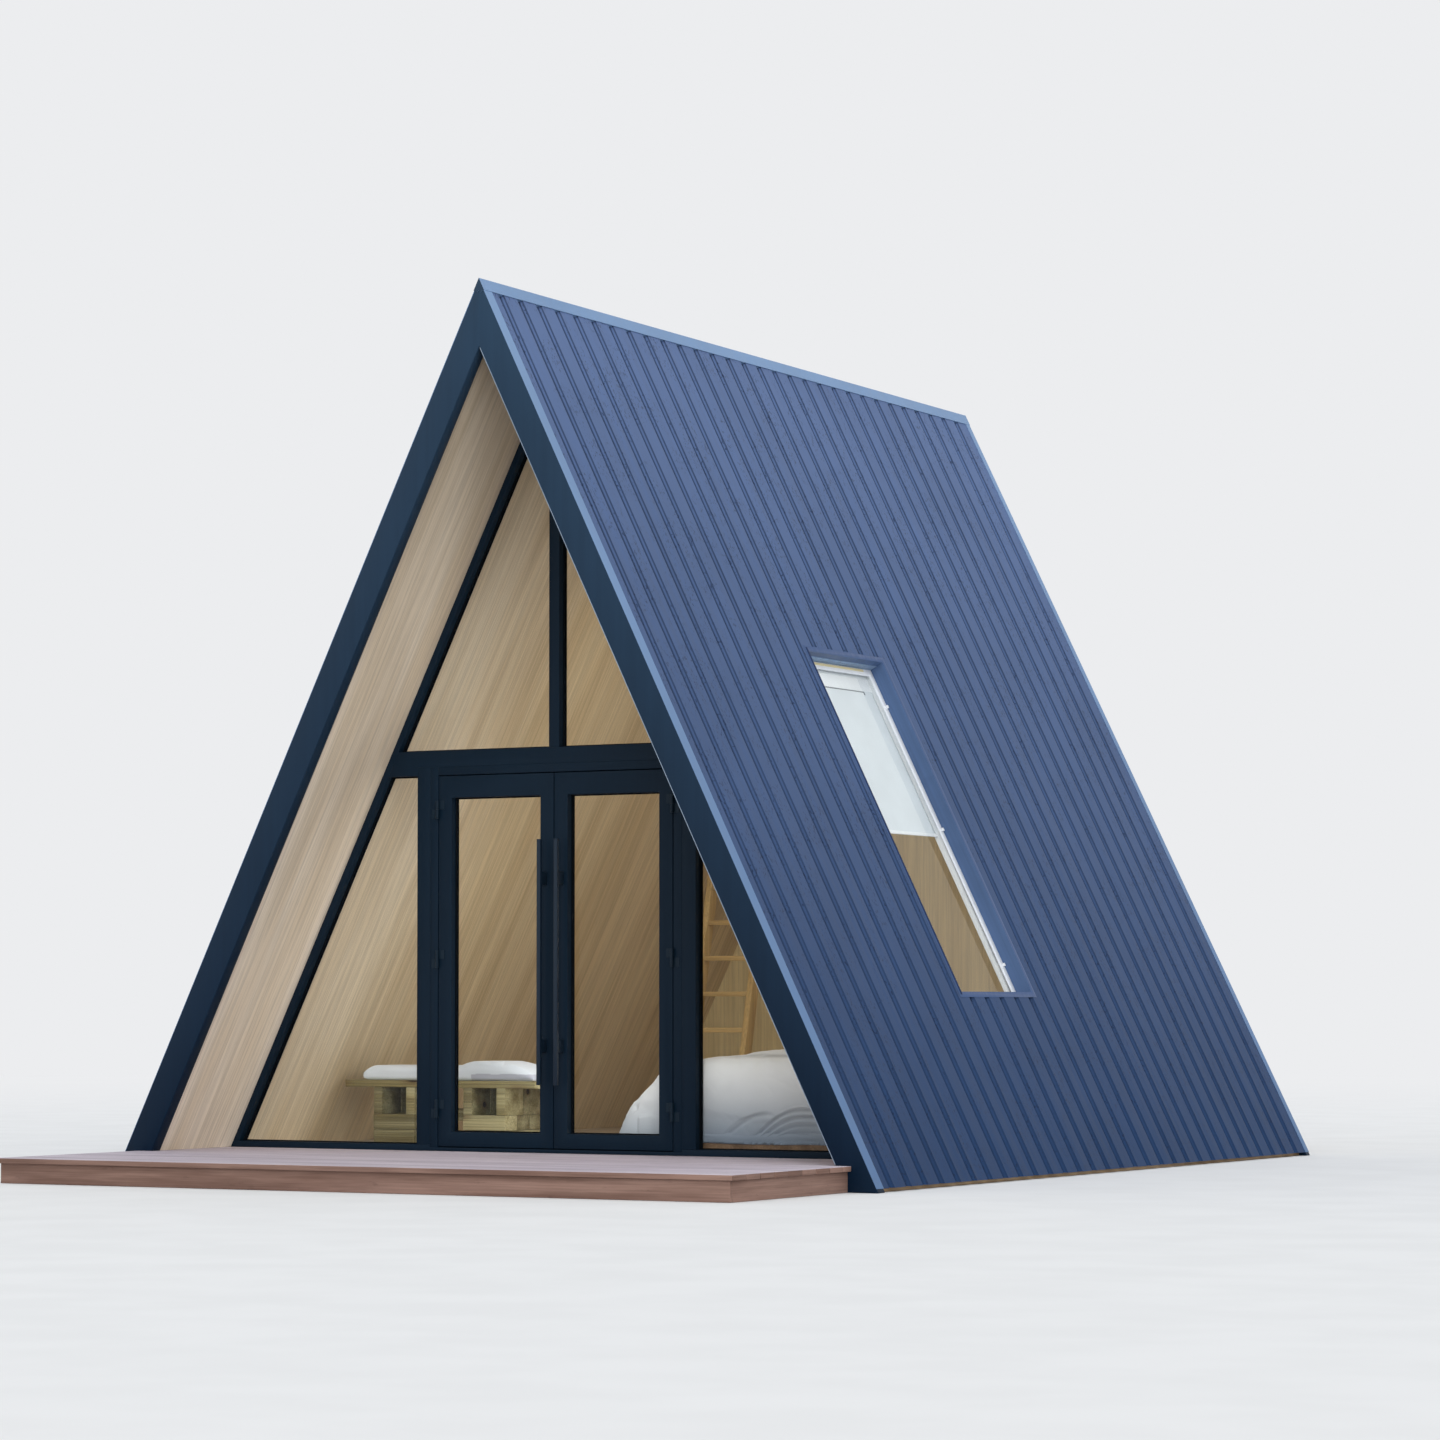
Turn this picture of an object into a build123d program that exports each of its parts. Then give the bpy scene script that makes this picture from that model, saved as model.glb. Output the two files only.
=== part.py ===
from build123d import *
from math import ceil, cos, radians, sin, sqrt, tan
import os

os.makedirs("parts", exist_ok=True)

# An A-frame cabin in millimetres. The ground is Z = 0, the porch faces -Y, and X = 0 is the middle.
# Pieces are drawn for the right side (+X) and mirrored. Only the right slope has a window.

# Whole cabin
roof_length = 5800
ridge_height = 4705
slope_angle = 63.65
deck_height = 130
deck_reach = 1206
deck_half_width = 2181
porch_depth = 754
rear_recess = 150

# Roof build-up, square to the slope, from the outer face inwards
trim_gauge = 2
rib_depth = 24
sheet_gauge = 2
panel_thickness = 110
foot_clearance = 20
panel_joint = 2

# Profiled roof sheet: wide crowns parted by narrow valleys
rib_pitch = 187.15
first_valley = 171
valley_mouth = 64
valley_floor = 28

# Barge boards, and the ridge cap that is folded over their peak
fascia_width = 155
front_fascia_depth = 79
rear_fascia_depth = 56
cap_gauge = 2
cap_leg = 68
cap_apron = 26
closer_length = 16
closer_setback = 4

# Base: sill beams under the roof feet, joists and boards
sill_beam_height = 45
board_thickness = 27
joist_width = 45
joist_spacing = 560
joist_clearance = 30
skirt_thickness = 22
skirt_joint = 2
nosing_overhang = 20

# Rear wall
wall_thickness = 120
cladding_thickness = 20

# Glazed front
frame_depth = 80
raking_face = 35
bottom_rail = 34
threshold_height = 20
post_inner = 788.3
post_width = 84
jamb_width = 51
door_head_height = 2036.8
head_face = 46.8
transom_face = 86.4
mullion_width = 65
glass_recess = 44
glass_thickness = 16

# Door leaves
door_gap = 5
leaf_thickness = 62
outer_stile = 82.3
meeting_stile = 83
top_rail = 118.4
kick_rail = 79.3
stop_width = 15

# Pull handles
pull_size = 22
pull_offset = 53
pull_standoff = 50
pull_bottom = 364
pull_top = 1675
bracket_height = 70
bracket_inset = 173

# Door hinges
hinge_radius = 9.5
hinge_forward = 12
hinge_pin_radius = 4
hinge_bore_radius = 4.05
hinge_half = 48
hinge_gap = 1
hinge_plate_reach = 38
hinge_plate_gauge = 3
hinge_above_deck = 180
hinge_below_head = 235

# Roof window, measured down the slope from the ridge and back from the roof's front
window_top = 2053
window_length = 2090
window_front = 1941
window_width = 895
reveal_gauge = 8
flange_width = 25
window_frame_inset = 88
window_frame_face = 35
window_glass_inset = 94
blind_inset = 116
blind_gauge = 3
blind_side_gap = 3
blind_head = 110
blind_head_depth = 18
blind_bottom = 3163

# Bed
bed_wall_clearance = 18
bed_width = 1330
bed_length = 2000
bed_front = 100
bed_height = 200
duvet_top = 520
duvet_hem = 64
duvet_side = 36
duvet_front = 10
duvet_spread = 120
shoulder_reach = 130
shoulder_drop = 122
shoulder_radius = 300
brow_reach = 410
brow_drop = 44
crown_reach = 730
crown_radius = 1500
duvet_corner = 110
duvet_edge = 70
soft_clearance = 0.3

# Bench and its two cushions
bench_wall_clearance = 5
bench_length = 1275
bench_front = 783
bench_depth = 400
bench_height = 363
bench_top_board = 40
trestle_width = 280
trestle_inset = 195
trestle_post = 60
trestle_block = 170
shelf_underside = 137
shelf_board = 60
cushion_inset = 92
cushion_length = 573
cushion_gap = 20
cushion_height = 95
cushion_setback = 20
cushion_edge = 30

# Ladder that leans back until the head of its left stile meets the lining
ladder_clearance = 4
ladder_foot = 3410
ladder_lean = 13.34
ladder_rise = 1840
ladder_width = 412
stile_width = 38
stile_depth = 85
tread_gauge = 30
tread_depth = 68
tread_setback = 6
tread_spacing = 223.2
first_tread = 172

# Values that follow
pitch = radians(slope_angle)
panel_top = trim_gauge + rib_depth + sheet_gauge
lining = panel_top + panel_thickness
glazing_inner = lining + raking_face
overall_depth = deck_reach + roof_length + cap_gauge
deck_front = -overall_depth / 2
roof_front = deck_front + deck_reach
roof_rear = roof_front + roof_length
panel_front = roof_front + front_fascia_depth
panel_rear = roof_rear - rear_fascia_depth
glazing = roof_front + porch_depth
wall_outer = roof_rear - rear_recess
wall_inner = wall_outer - wall_thickness
joist_top = deck_height - board_thickness
skirt_front = deck_front + nosing_overhang
skirt_outer = deck_half_width - nosing_overhang
skirt_inner = skirt_outer - skirt_thickness
rail_top = deck_height + bottom_rail
threshold_top = deck_height + threshold_height
head_under = deck_height + door_head_height
transom_under = head_under + head_face
transom_top = transom_under + transom_face
jamb_inner = post_inner - jamb_width
post_outer = post_inner + post_width
leaf_edge = jamb_inner - door_gap
leaf_middle = door_gap / 2
leaf_bottom = threshold_top + door_gap
leaf_top = head_under - door_gap
pane_front = glazing + glass_recess
pane_rear = pane_front + glass_thickness
hinge_x = (jamb_inner + leaf_edge) / 2
hinge_y = glazing - hinge_forward
window_bottom = window_top + window_length
window_rear = window_front + window_width


def half_width(height, inset):
    """Half the width of the A at a height, on the line that lies inset from the outer face."""
    return (ridge_height - height) / tan(pitch) - inset / sin(pitch)


def peak(inset):
    """Height where the two slopes meet, on the lines that lie inset from the outer faces."""
    return ridge_height - inset / cos(pitch)


# Furniture stands as close under the slopes as its height lets it
duvet_right = half_width(deck_height + duvet_top, lining) - bed_wall_clearance
bed_right = duvet_right - duvet_side
bed_left = bed_right - bed_width
bench_level = deck_height + bench_height
bench_left = bench_wall_clearance - half_width(bench_level + cushion_height, lining)
bench_right = bench_left + bench_length
ladder_head = deck_height + ladder_rise
ladder_left = ladder_clearance - half_width(ladder_head, lining)
ladder_right = ladder_left + ladder_width
ladder_slant = tan(radians(ladder_lean))

right_slope = Plane(
    origin=(0, roof_front, ridge_height),
    x_dir=(cos(pitch), 0, -sin(pitch)),
    z_dir=(sin(pitch), 0, cos(pitch)),
)


def along_y(points, front, rear):
    """A prism with its outline drawn in X and Z, running from front to rear."""
    outline = make_face(Polyline(*points, close=True))
    return extrude(Plane.XZ.offset(-front) * outline, amount=front - rear)


def along_x(points, left, right):
    """A prism with its outline drawn in Y and Z, running from left to right."""
    outline = make_face(Polyline(*points, close=True))
    return extrude(Plane.YZ.offset(left) * outline, amount=right - left)


def block(x_range, y_range, z_range):
    """A box between pairs of limits."""
    spans = (x_range, y_range, z_range)
    middle = [(low + high) / 2 for low, high in spans]
    size = [high - low for low, high in spans]
    return Pos(*middle) * Box(*size)


def leg(outer, inner, foot, front, rear):
    """The right-hand leg of an A, between two insets, cut level at its foot and plumb at the ridge."""
    points = [
        (half_width(foot, outer), foot),
        (0, peak(outer)),
        (0, peak(inner)),
        (half_width(foot, inner), foot),
    ]
    return along_y(points, front, rear)


def inside(inset, low, high, front, rear):
    """A level slab that fills the A between the two slopes."""
    points = [
        (-half_width(low, inset), low),
        (half_width(low, inset), low),
        (half_width(high, inset), high),
        (-half_width(high, inset), high),
    ]
    return along_y(points, front, rear)


def gable(inset, low, front, rear):
    """An upright triangle that fills the A from a height up to the ridge."""
    points = [(-half_width(low, inset), low), (half_width(low, inset), low), (0, peak(inset))]
    return along_y(points, front, rear)


def on_slope(down, back, depth):
    """A box on the right slope: down from the ridge, back from the roof's front, and inset."""
    return right_slope * block(down, back, (-depth[1], -depth[0]))


def mirrored(part):
    """The same piece on the left side."""
    return mirror(part, about=Plane.YZ)


def save(name, *solids):
    """Writes one named piece, or several like ones that share a name."""
    shape = solids[0] if len(solids) == 1 else Compound(children=list(solids))
    export_step(shape, f"parts/{name}.step")


# Base and deck
def sill_beam():
    """The beam that carries the right-hand roof panels."""
    inner = half_width(sill_beam_height, lining)
    outer = half_width(sill_beam_height, panel_top)
    return block((inner, outer), (panel_front, panel_rear), (0, sill_beam_height))


def floor_joists():
    """Joists from sill beam to sill beam, their tops cut back to the linings."""
    low = half_width(sill_beam_height, lining)
    high = half_width(joist_top, lining)
    section = [
        (-low, 0),
        (low, 0),
        (low, sill_beam_height),
        (high, joist_top),
        (-high, joist_top),
        (-low, sill_beam_height),
    ]
    span = wall_outer - joist_width - panel_front
    bays = ceil(span / joist_spacing)
    starts = [panel_front + span * bay / bays for bay in range(bays + 1)]
    return [along_y(section, start, start + joist_width) for start in starts]


def deck_joists():
    """Joists from the skirt back to the first floor joist."""
    reach = min(skirt_inner, half_width(joist_top, trim_gauge + fascia_width)) - joist_clearance
    span = 2 * reach - joist_width
    bays = ceil(span / joist_spacing)
    depth = (skirt_front + skirt_thickness, panel_front)
    lefts = [-reach + span * bay / bays for bay in range(bays + 1)]
    return [block((left, left + joist_width), depth, (0, joist_top)) for left in lefts]


def deck():
    """Boards in front of the cabin that run on between the fascia feet and the linings."""
    levels = (joist_top, deck_height)
    platform = block((-deck_half_width, deck_half_width), (deck_front, roof_front), levels)
    neck = inside(trim_gauge + fascia_width, *levels, roof_front, panel_front)
    porch = inside(lining, *levels, panel_front, glazing)
    return platform + neck + porch


def skirt_boards():
    """Upright boards on the ground under the deck's edge: a front one and one at each side."""
    rear = skirt_front + skirt_thickness
    front = block((-skirt_outer, skirt_outer), (skirt_front, rear), (0, joist_top))
    side = block((skirt_inner, skirt_outer), (rear + skirt_joint, roof_front), (0, joist_top))
    return [front, side, mirrored(side)]


# Roof
def roof_panels():
    """One slope's lined panels in three bays, the middle one as wide as the window's opening."""
    bay_front = roof_front + window_front - reveal_gauge
    bay_rear = roof_front + window_rear + reveal_gauge
    bays = (
        (panel_front, bay_front),
        (bay_front + panel_joint, bay_rear - panel_joint),
        (bay_rear, panel_rear),
    )
    return [leg(panel_top, lining, sill_beam_height, front, rear) for front, rear in bays]


def sheet_line(back_start, back_end, inset, spread):
    """The folded line of the sheet from front to rear, spread sideways to follow its thickness."""
    points = [(back_start, -inset)]
    centre = first_valley
    mouth = valley_mouth / 2 + spread
    floor = valley_floor / 2 + spread
    while centre + mouth < back_end:
        points += [
            (centre - mouth, -inset),
            (centre - floor, -inset - rib_depth),
            (centre + floor, -inset - rib_depth),
            (centre + mouth, -inset),
        ]
        centre += rib_pitch
    return points + [(back_end, -inset)]


def web_spread():
    """How far the underside's folds move sideways for the sheet to keep its gauge on the webs."""
    run = (valley_mouth - valley_floor) / 2
    slant = sqrt(run**2 + rib_depth**2)
    return sheet_gauge * (slant - run) / rib_depth


def roof_sheet():
    """The profiled sheet of one slope, cut plumb at the ridge and level at the foot."""
    start, end = front_fascia_depth, roof_length - rear_fascia_depth
    upper = sheet_line(start, end, trim_gauge, 0)
    lower = sheet_line(start, end, trim_gauge + sheet_gauge, web_spread())
    outline = make_face(Polyline(*upper, *reversed(lower), close=True))
    length = ridge_height / sin(pitch)
    sheet = right_slope * extrude(Plane.YZ * outline, amount=length)
    keep = block((trim_gauge, ridge_height), (roof_front, roof_rear), (foot_clearance, ridge_height))
    return sheet & keep


def fascia(front, depth):
    """A barge board on the right, from the ground to a plumb mitre at the peak."""
    return leg(trim_gauge, trim_gauge + fascia_width, 0, front, front + depth)


def rake_trim(front, depth):
    """A thin metal strip over the barge board's top edge."""
    strip = leg(0, trim_gauge, foot_clearance, front, front + depth)
    return strip & block((trim_gauge, ridge_height), (roof_front, roof_rear), (0, ridge_height))


def ridge_closer():
    """The filler under the ridge cap's edge, cut to the sheet's crowns and valleys."""
    start, end = front_fascia_depth, roof_length - rear_fascia_depth
    lower = sheet_line(start, end, trim_gauge, 0)
    outline = make_face(Polyline((start, 0), *lower, (end, 0), close=True))
    down = cap_leg - closer_setback - closer_length
    return right_slope * Pos(down, 0, 0) * extrude(Plane.YZ * outline, amount=closer_length)


def ridge_cap():
    """A folded cap along the ridge, with its ends turned down and its edges closed to the sheet."""
    cap = leg(-cap_gauge, 0, foot_clearance, roof_front, roof_rear)
    reach = (-cap_leg, cap_leg)
    cap &= on_slope(reach, (0, roof_length), (-cap_gauge, cap_leg))
    front_apron = leg(-cap_gauge, cap_apron, foot_clearance, roof_front - cap_gauge, roof_front)
    rear_apron = leg(-cap_gauge, cap_apron, foot_clearance, roof_rear, roof_rear + cap_gauge)
    window = on_slope(reach, (-cap_gauge, roof_length + cap_gauge), (-cap_gauge, cap_leg))
    half = cap + ridge_closer() + (front_apron & window) + (rear_apron & window)
    return half + mirrored(half)


# Rear end
def rear_wall():
    """The end wall, standing on the floor between the two linings."""
    return gable(lining, deck_height, wall_inner, wall_outer)


def rear_cladding():
    """Boards on the outside of the end wall, run down over the floor's edge to the sill beams."""
    return gable(lining, sill_beam_height, wall_outer, wall_outer + cladding_thickness)


# Roof window
def window_opening():
    """The hole that the window needs through the right slope."""
    return on_slope(
        (window_top - reveal_gauge, window_bottom + reveal_gauge),
        (window_front - reveal_gauge, window_rear + reveal_gauge),
        (0, 2 * lining),
    )


def window_ring(margin, opening, depth):
    """A four-sided ring on the slope, margin wider all round than the window, with a hole in it."""
    outer = on_slope(
        (window_top - margin, window_bottom + margin),
        (window_front - margin, window_rear + margin),
        depth,
    )
    return outer - on_slope(
        (window_top + opening, window_bottom - opening),
        (window_front + opening, window_rear - opening),
        (depth[0] - 1, depth[1] + 1),
    )


def window_reveal():
    """The dark lining of the window's recess, with its flange on the sheet's crowns."""
    flange = window_ring(reveal_gauge + flange_width, 0, (0, trim_gauge))
    return flange + window_ring(reveal_gauge, 0, (0, window_frame_inset))


def window_frame():
    """The pale frame that holds the pane, as deep as the rest of the panel."""
    return window_ring(reveal_gauge, window_frame_face, (window_frame_inset, lining))


def window_glass():
    """The pane inside the frame."""
    return on_slope(
        (window_top + window_frame_face, window_bottom - window_frame_face),
        (window_front + window_frame_face, window_rear - window_frame_face),
        (window_glass_inset, window_glass_inset + glass_thickness),
    )


def window_blind():
    """The half-drawn blind behind the pane, hung from its head box."""
    top = window_top + window_frame_face
    sides = (
        window_front + window_frame_face + blind_side_gap,
        window_rear - window_frame_face - blind_side_gap,
    )
    head = on_slope((top, top + blind_head), sides, (blind_inset, blind_inset + blind_head_depth))
    cloth = on_slope((top, blind_bottom), sides, (blind_inset, blind_inset + blind_gauge))
    return head + cloth


# Glazed front
def glazing_sill():
    """The bottom rail across the front, lower where the doors pass over it."""
    sill = inside(lining, deck_height, rail_top, glazing, glazing + frame_depth)
    doorway = block(
        (-post_inner, post_inner),
        (glazing, glazing + frame_depth),
        (threshold_top, rail_top),
    )
    return sill - doorway


def raking_frame():
    """The frame that follows the lining from the bottom rail to the peak."""
    return leg(lining, glazing_inner, rail_top, glazing, glazing + frame_depth)


def door_post():
    """The upright between the doors and the side light, cut to the raking frame if it meets it."""
    depth = (glazing, glazing + frame_depth)
    post = block((post_inner, post_outer), depth, (rail_top, transom_under))
    return post & gable(glazing_inner, rail_top, *depth)


def door_jamb():
    """The door frame's upright, with the stop that the leaf closes against."""
    depth = (glazing, glazing + frame_depth)
    jamb = block((jamb_inner, post_inner), depth, (threshold_top, transom_under))
    stop = block(
        (jamb_inner - stop_width, jamb_inner),
        (glazing + leaf_thickness + door_gap, glazing + frame_depth),
        (threshold_top, head_under),
    )
    return jamb + stop


def door_head():
    """The door frame's head, with its stop, between the two jambs."""
    depth = (glazing, glazing + frame_depth)
    head = block((-jamb_inner, jamb_inner), depth, (head_under, transom_under))
    stop = block(
        (-jamb_inner + stop_width, jamb_inner - stop_width),
        (glazing + leaf_thickness + door_gap, glazing + frame_depth),
        (head_under - stop_width, head_under),
    )
    return head + stop


def transom():
    """The beam over doors and side lights, thicker over the side lights as their head."""
    depth = (glazing, glazing + frame_depth)
    beam = inside(glazing_inner, transom_under, transom_top, *depth)
    heads = inside(glazing_inner, head_under, transom_under, *depth)
    between = block((-post_outer, post_outer), depth, (head_under, transom_under))
    return beam + (heads - between)


def gable_mullion():
    """The upright in the middle of the gable, cut to the raking frames."""
    face = mullion_width / 2
    upright = block((-face, face), (glazing, glazing + frame_depth), (transom_top, ridge_height))
    return upright & gable(glazing_inner, transom_top, glazing, glazing + frame_depth)


def side_glass():
    """The pane beside the doors."""
    points = [
        (post_outer, rail_top),
        (half_width(rail_top, glazing_inner), rail_top),
        (half_width(head_under, glazing_inner), head_under),
        (post_outer, head_under),
    ]
    return along_y(points, pane_front, pane_rear)


def gable_glass():
    """The three-sided pane above the transom."""
    edge = mullion_width / 2
    tip = ridge_height - (edge + glazing_inner / sin(pitch)) * tan(pitch)
    points = [(edge, transom_top), (half_width(transom_top, glazing_inner), transom_top), (edge, tip)]
    return along_y(points, pane_front, pane_rear)


# Doors
def leaf_opening(front, rear):
    """The glazed part of the right leaf."""
    return block(
        (leaf_middle + meeting_stile, leaf_edge - outer_stile),
        (front, rear),
        (leaf_bottom + kick_rail, leaf_top - top_rail),
    )


def door_leaf():
    """Stiles and rails of the right leaf."""
    rear = glazing + leaf_thickness
    leaf = block((leaf_middle, leaf_edge), (glazing, rear), (leaf_bottom, leaf_top))
    return leaf - leaf_opening(glazing, rear)


def door_glass():
    """The pane of the right leaf."""
    return leaf_opening(pane_front, pane_rear)


def pull_handle():
    """A long square pull bar on two brackets, near the meeting stile."""
    sides = (pull_offset - pull_size / 2, pull_offset + pull_size / 2)
    bar_rear = glazing - pull_standoff
    low = deck_height + pull_bottom
    high = deck_height + pull_top
    handle = block(sides, (bar_rear - pull_size, bar_rear), (low, high))
    for start in (low + bracket_inset, high - bracket_inset - bracket_height):
        handle += block(sides, (bar_rear, glazing), (start, start + bracket_height))
    return handle


def upright_cylinder(radius, low, high):
    """A round on the right door's hinge line."""
    height = high - low
    return Pos(hinge_x, hinge_y, (low + high) / 2) * Cylinder(radius, height)


def jamb_hinge(low):
    """The fixed half of a hinge: knuckle, pin and plate on the jamb."""
    top = low + hinge_half
    plate = block(
        (hinge_x, jamb_inner + hinge_plate_reach),
        (glazing - hinge_plate_gauge, glazing),
        (low, top),
    )
    pin = upright_cylinder(hinge_pin_radius, low, top + hinge_half)
    return upright_cylinder(hinge_radius, low, top) + plate + pin


def leaf_hinge(low):
    """The moving half of a hinge: the knuckle that turns on the pin, and its plate on the leaf."""
    start = low + hinge_half + hinge_gap
    top = start + hinge_half
    plate = block(
        (leaf_edge - hinge_plate_reach, hinge_x),
        (glazing - hinge_plate_gauge, glazing),
        (start, top),
    )
    knuckle = upright_cylinder(hinge_radius, start, top) + plate
    return knuckle - upright_cylinder(hinge_bore_radius, start, top)


# Furniture that shows through the glass
def bed_base():
    """A low wooden platform in the corner behind the right side light."""
    return block(
        (bed_left, bed_right),
        (glazing + bed_front, glazing + bed_front + bed_length),
        (deck_height, deck_height + bed_height),
    )


def duvet_outline():
    """The cover's outline from the front: spread out at its left hem and rounded at every bend."""
    hem = deck_height + duvet_hem
    top = deck_height + duvet_top
    shoulder = (bed_left + shoulder_reach, top - shoulder_drop)
    brow = (bed_left + brow_reach, top - brow_drop)
    crown = (bed_left + crown_reach, top)
    corner = (duvet_right, top)
    hems = [(duvet_right, hem), (bed_left - duvet_spread, hem)]
    outline = make_face(Polyline(shoulder, brow, crown, corner, *hems, close=True))
    for bend, radius in (
        (shoulder, shoulder_radius),
        (brow, crown_radius),
        (crown, crown_radius),
        (corner, duvet_corner),
    ):
        vertex = outline.vertices().sort_by_distance((*bend, 0))[0]
        outline = fillet(vertex, radius)
    return outline


def duvet():
    """A thick cover over the platform, hanging down its sides."""
    front = glazing + bed_front - duvet_front
    rear = glazing + bed_front + bed_length + duvet_side
    cover = extrude(Plane.XZ.offset(-front) * duvet_outline(), amount=front - rear)
    ends = cover.faces().sort_by(Axis.Y)
    rims = [end.edges().sort_by(Axis.Z)[1:] for end in (ends[0], ends[-1])]
    cover = fillet(rims[0] + rims[1], duvet_edge)
    depth = (
        glazing + bed_front - soft_clearance,
        glazing + bed_front + bed_length + soft_clearance,
    )
    hollow = block(
        (bed_left - soft_clearance, bed_right + soft_clearance),
        depth,
        (deck_height, deck_height + bed_height + soft_clearance),
    )
    return cover - hollow


def bench():
    """A bench of thick planks on two trestles with a shelf between them."""
    front = glazing + bench_front
    depth = (front, front + bench_depth)
    under = bench_level - bench_top_board
    body = block((bench_left, bench_right), depth, (under, bench_level))
    for start in (bench_left + trestle_inset, bench_right - trestle_inset - trestle_width):
        end = start + trestle_width
        body += block((start, start + trestle_post), depth, (deck_height, under))
        body += block((end - trestle_post, end), depth, (deck_height, under))
        body += block((start, end), depth, (deck_height, deck_height + trestle_block))
    shelf = deck_height + shelf_underside
    body += block(
        (bench_left + trestle_inset, bench_right - trestle_inset),
        (front + trestle_post, front + bench_depth),
        (shelf, shelf + shelf_board),
    )
    return body


def bench_cushion(place):
    """One of the two seat cushions."""
    left = bench_left + cushion_inset + place * (cushion_length + cushion_gap)
    front = glazing + bench_front + cushion_setback
    low = bench_level + soft_clearance
    pad = block(
        (left, left + cushion_length),
        (front, front + bench_depth - 2 * cushion_setback),
        (low, low + cushion_height),
    )
    return fillet(pad.edges(), cushion_edge)


def ladder_stile(left):
    """A plank on edge that leans back, with level ends."""
    front = glazing + ladder_foot
    rear = front + stile_depth / cos(radians(ladder_lean))
    shift = ladder_rise * ladder_slant
    outline = [
        (front, deck_height),
        (rear, deck_height),
        (rear + shift, ladder_head),
        (front + shift, ladder_head),
    ]
    return along_x(outline, left, left + stile_width)


def ladder_treads():
    """Level treads between the stiles, set just behind their front edges."""
    treads = []
    height = first_tread
    while height + tread_gauge < ladder_rise:
        front = glazing + ladder_foot + (height + tread_gauge) * ladder_slant + tread_setback
        low = deck_height + height
        treads.append(block(
            (ladder_left + stile_width, ladder_right - stile_width),
            (front, front + tread_depth),
            (low, low + tread_gauge),
        ))
        height += tread_spacing
    return treads


save("sill_beams", sill_beam(), mirrored(sill_beam()))
save("floor_joists", *floor_joists())
save("deck_joists", *deck_joists())
save("deck", deck())
save("deck_skirt", *skirt_boards())
save("floor", inside(lining, joist_top, deck_height, glazing, wall_outer))

front_bay, middle_bay, rear_bay = roof_panels()
beside_window = (middle_bay - window_opening()).solids()
save("right_roof_panels", front_bay, *beside_window, rear_bay)
save("left_roof_panels", mirrored(front_bay), mirrored(middle_bay), mirrored(rear_bay))
save("right_roof_sheet", roof_sheet() - window_opening())
save("left_roof_sheet", mirrored(roof_sheet()))

front_fascia = fascia(roof_front, front_fascia_depth)
save("right_front_fascia", front_fascia)
save("left_front_fascia", mirrored(front_fascia))
rear_fascia = fascia(panel_rear, rear_fascia_depth)
save("right_rear_fascia", rear_fascia)
save("left_rear_fascia", mirrored(rear_fascia))
trims = [rake_trim(roof_front, front_fascia_depth), rake_trim(panel_rear, rear_fascia_depth)]
save("rake_trims", *trims, *[mirrored(trim) for trim in trims])
save("ridge_cap", ridge_cap())

save("rear_wall", rear_wall())
save("rear_cladding", rear_cladding())

save("roof_window_reveal", window_reveal())
save("roof_window_frame", window_frame())
save("roof_window_glass", window_glass())
save("roof_window_blind", window_blind())

save("glazing_sill", glazing_sill())
save("right_raking_frame", raking_frame())
save("left_raking_frame", mirrored(raking_frame()))
save("door_posts", door_post(), mirrored(door_post()))
save("door_jambs", door_jamb(), mirrored(door_jamb()))
save("door_head", door_head())
save("transom", transom())
save("gable_mullion", gable_mullion())
save("side_glass", side_glass(), mirrored(side_glass()))
save("gable_glass", gable_glass(), mirrored(gable_glass()))

lowest = deck_height + hinge_above_deck
highest = head_under - hinge_below_head
hinge_levels = (lowest, (lowest + highest) / 2, highest)
jamb_hinges = [jamb_hinge(level) for level in hinge_levels]
leaf_hinges = [leaf_hinge(level) for level in hinge_levels]
save("jamb_hinges", *jamb_hinges, *[mirrored(hinge) for hinge in jamb_hinges])
save("right_leaf_hinges", *leaf_hinges)
save("left_leaf_hinges", *[mirrored(hinge) for hinge in leaf_hinges])
save("right_door_leaf", door_leaf())
save("left_door_leaf", mirrored(door_leaf()))
save("right_door_glass", door_glass())
save("left_door_glass", mirrored(door_glass()))
save("right_pull_handle", pull_handle())
save("left_pull_handle", mirrored(pull_handle()))

save("bed_base", bed_base())
save("duvet", duvet())
save("bench", bench())
save("bench_cushions", bench_cushion(0), bench_cushion(1))
save("ladder_stiles", ladder_stile(ladder_left), ladder_stile(ladder_right - stile_width))
save("ladder_treads", *ladder_treads())
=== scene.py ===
# %% [markdown]
# # A glazed A-frame cabin
# The CAD model gives the cabin's solids, its sizes and its two door hinges. This lesson dresses it for a
# portrait with boards, gaskets, screws, a blind, a bed and a bench, and then finishes, light and a camera.
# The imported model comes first, because every piece is placed by what is read from it.

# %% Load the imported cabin
import math

import bmesh
import bpy
from mathutils import Matrix, Vector, noise


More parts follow.
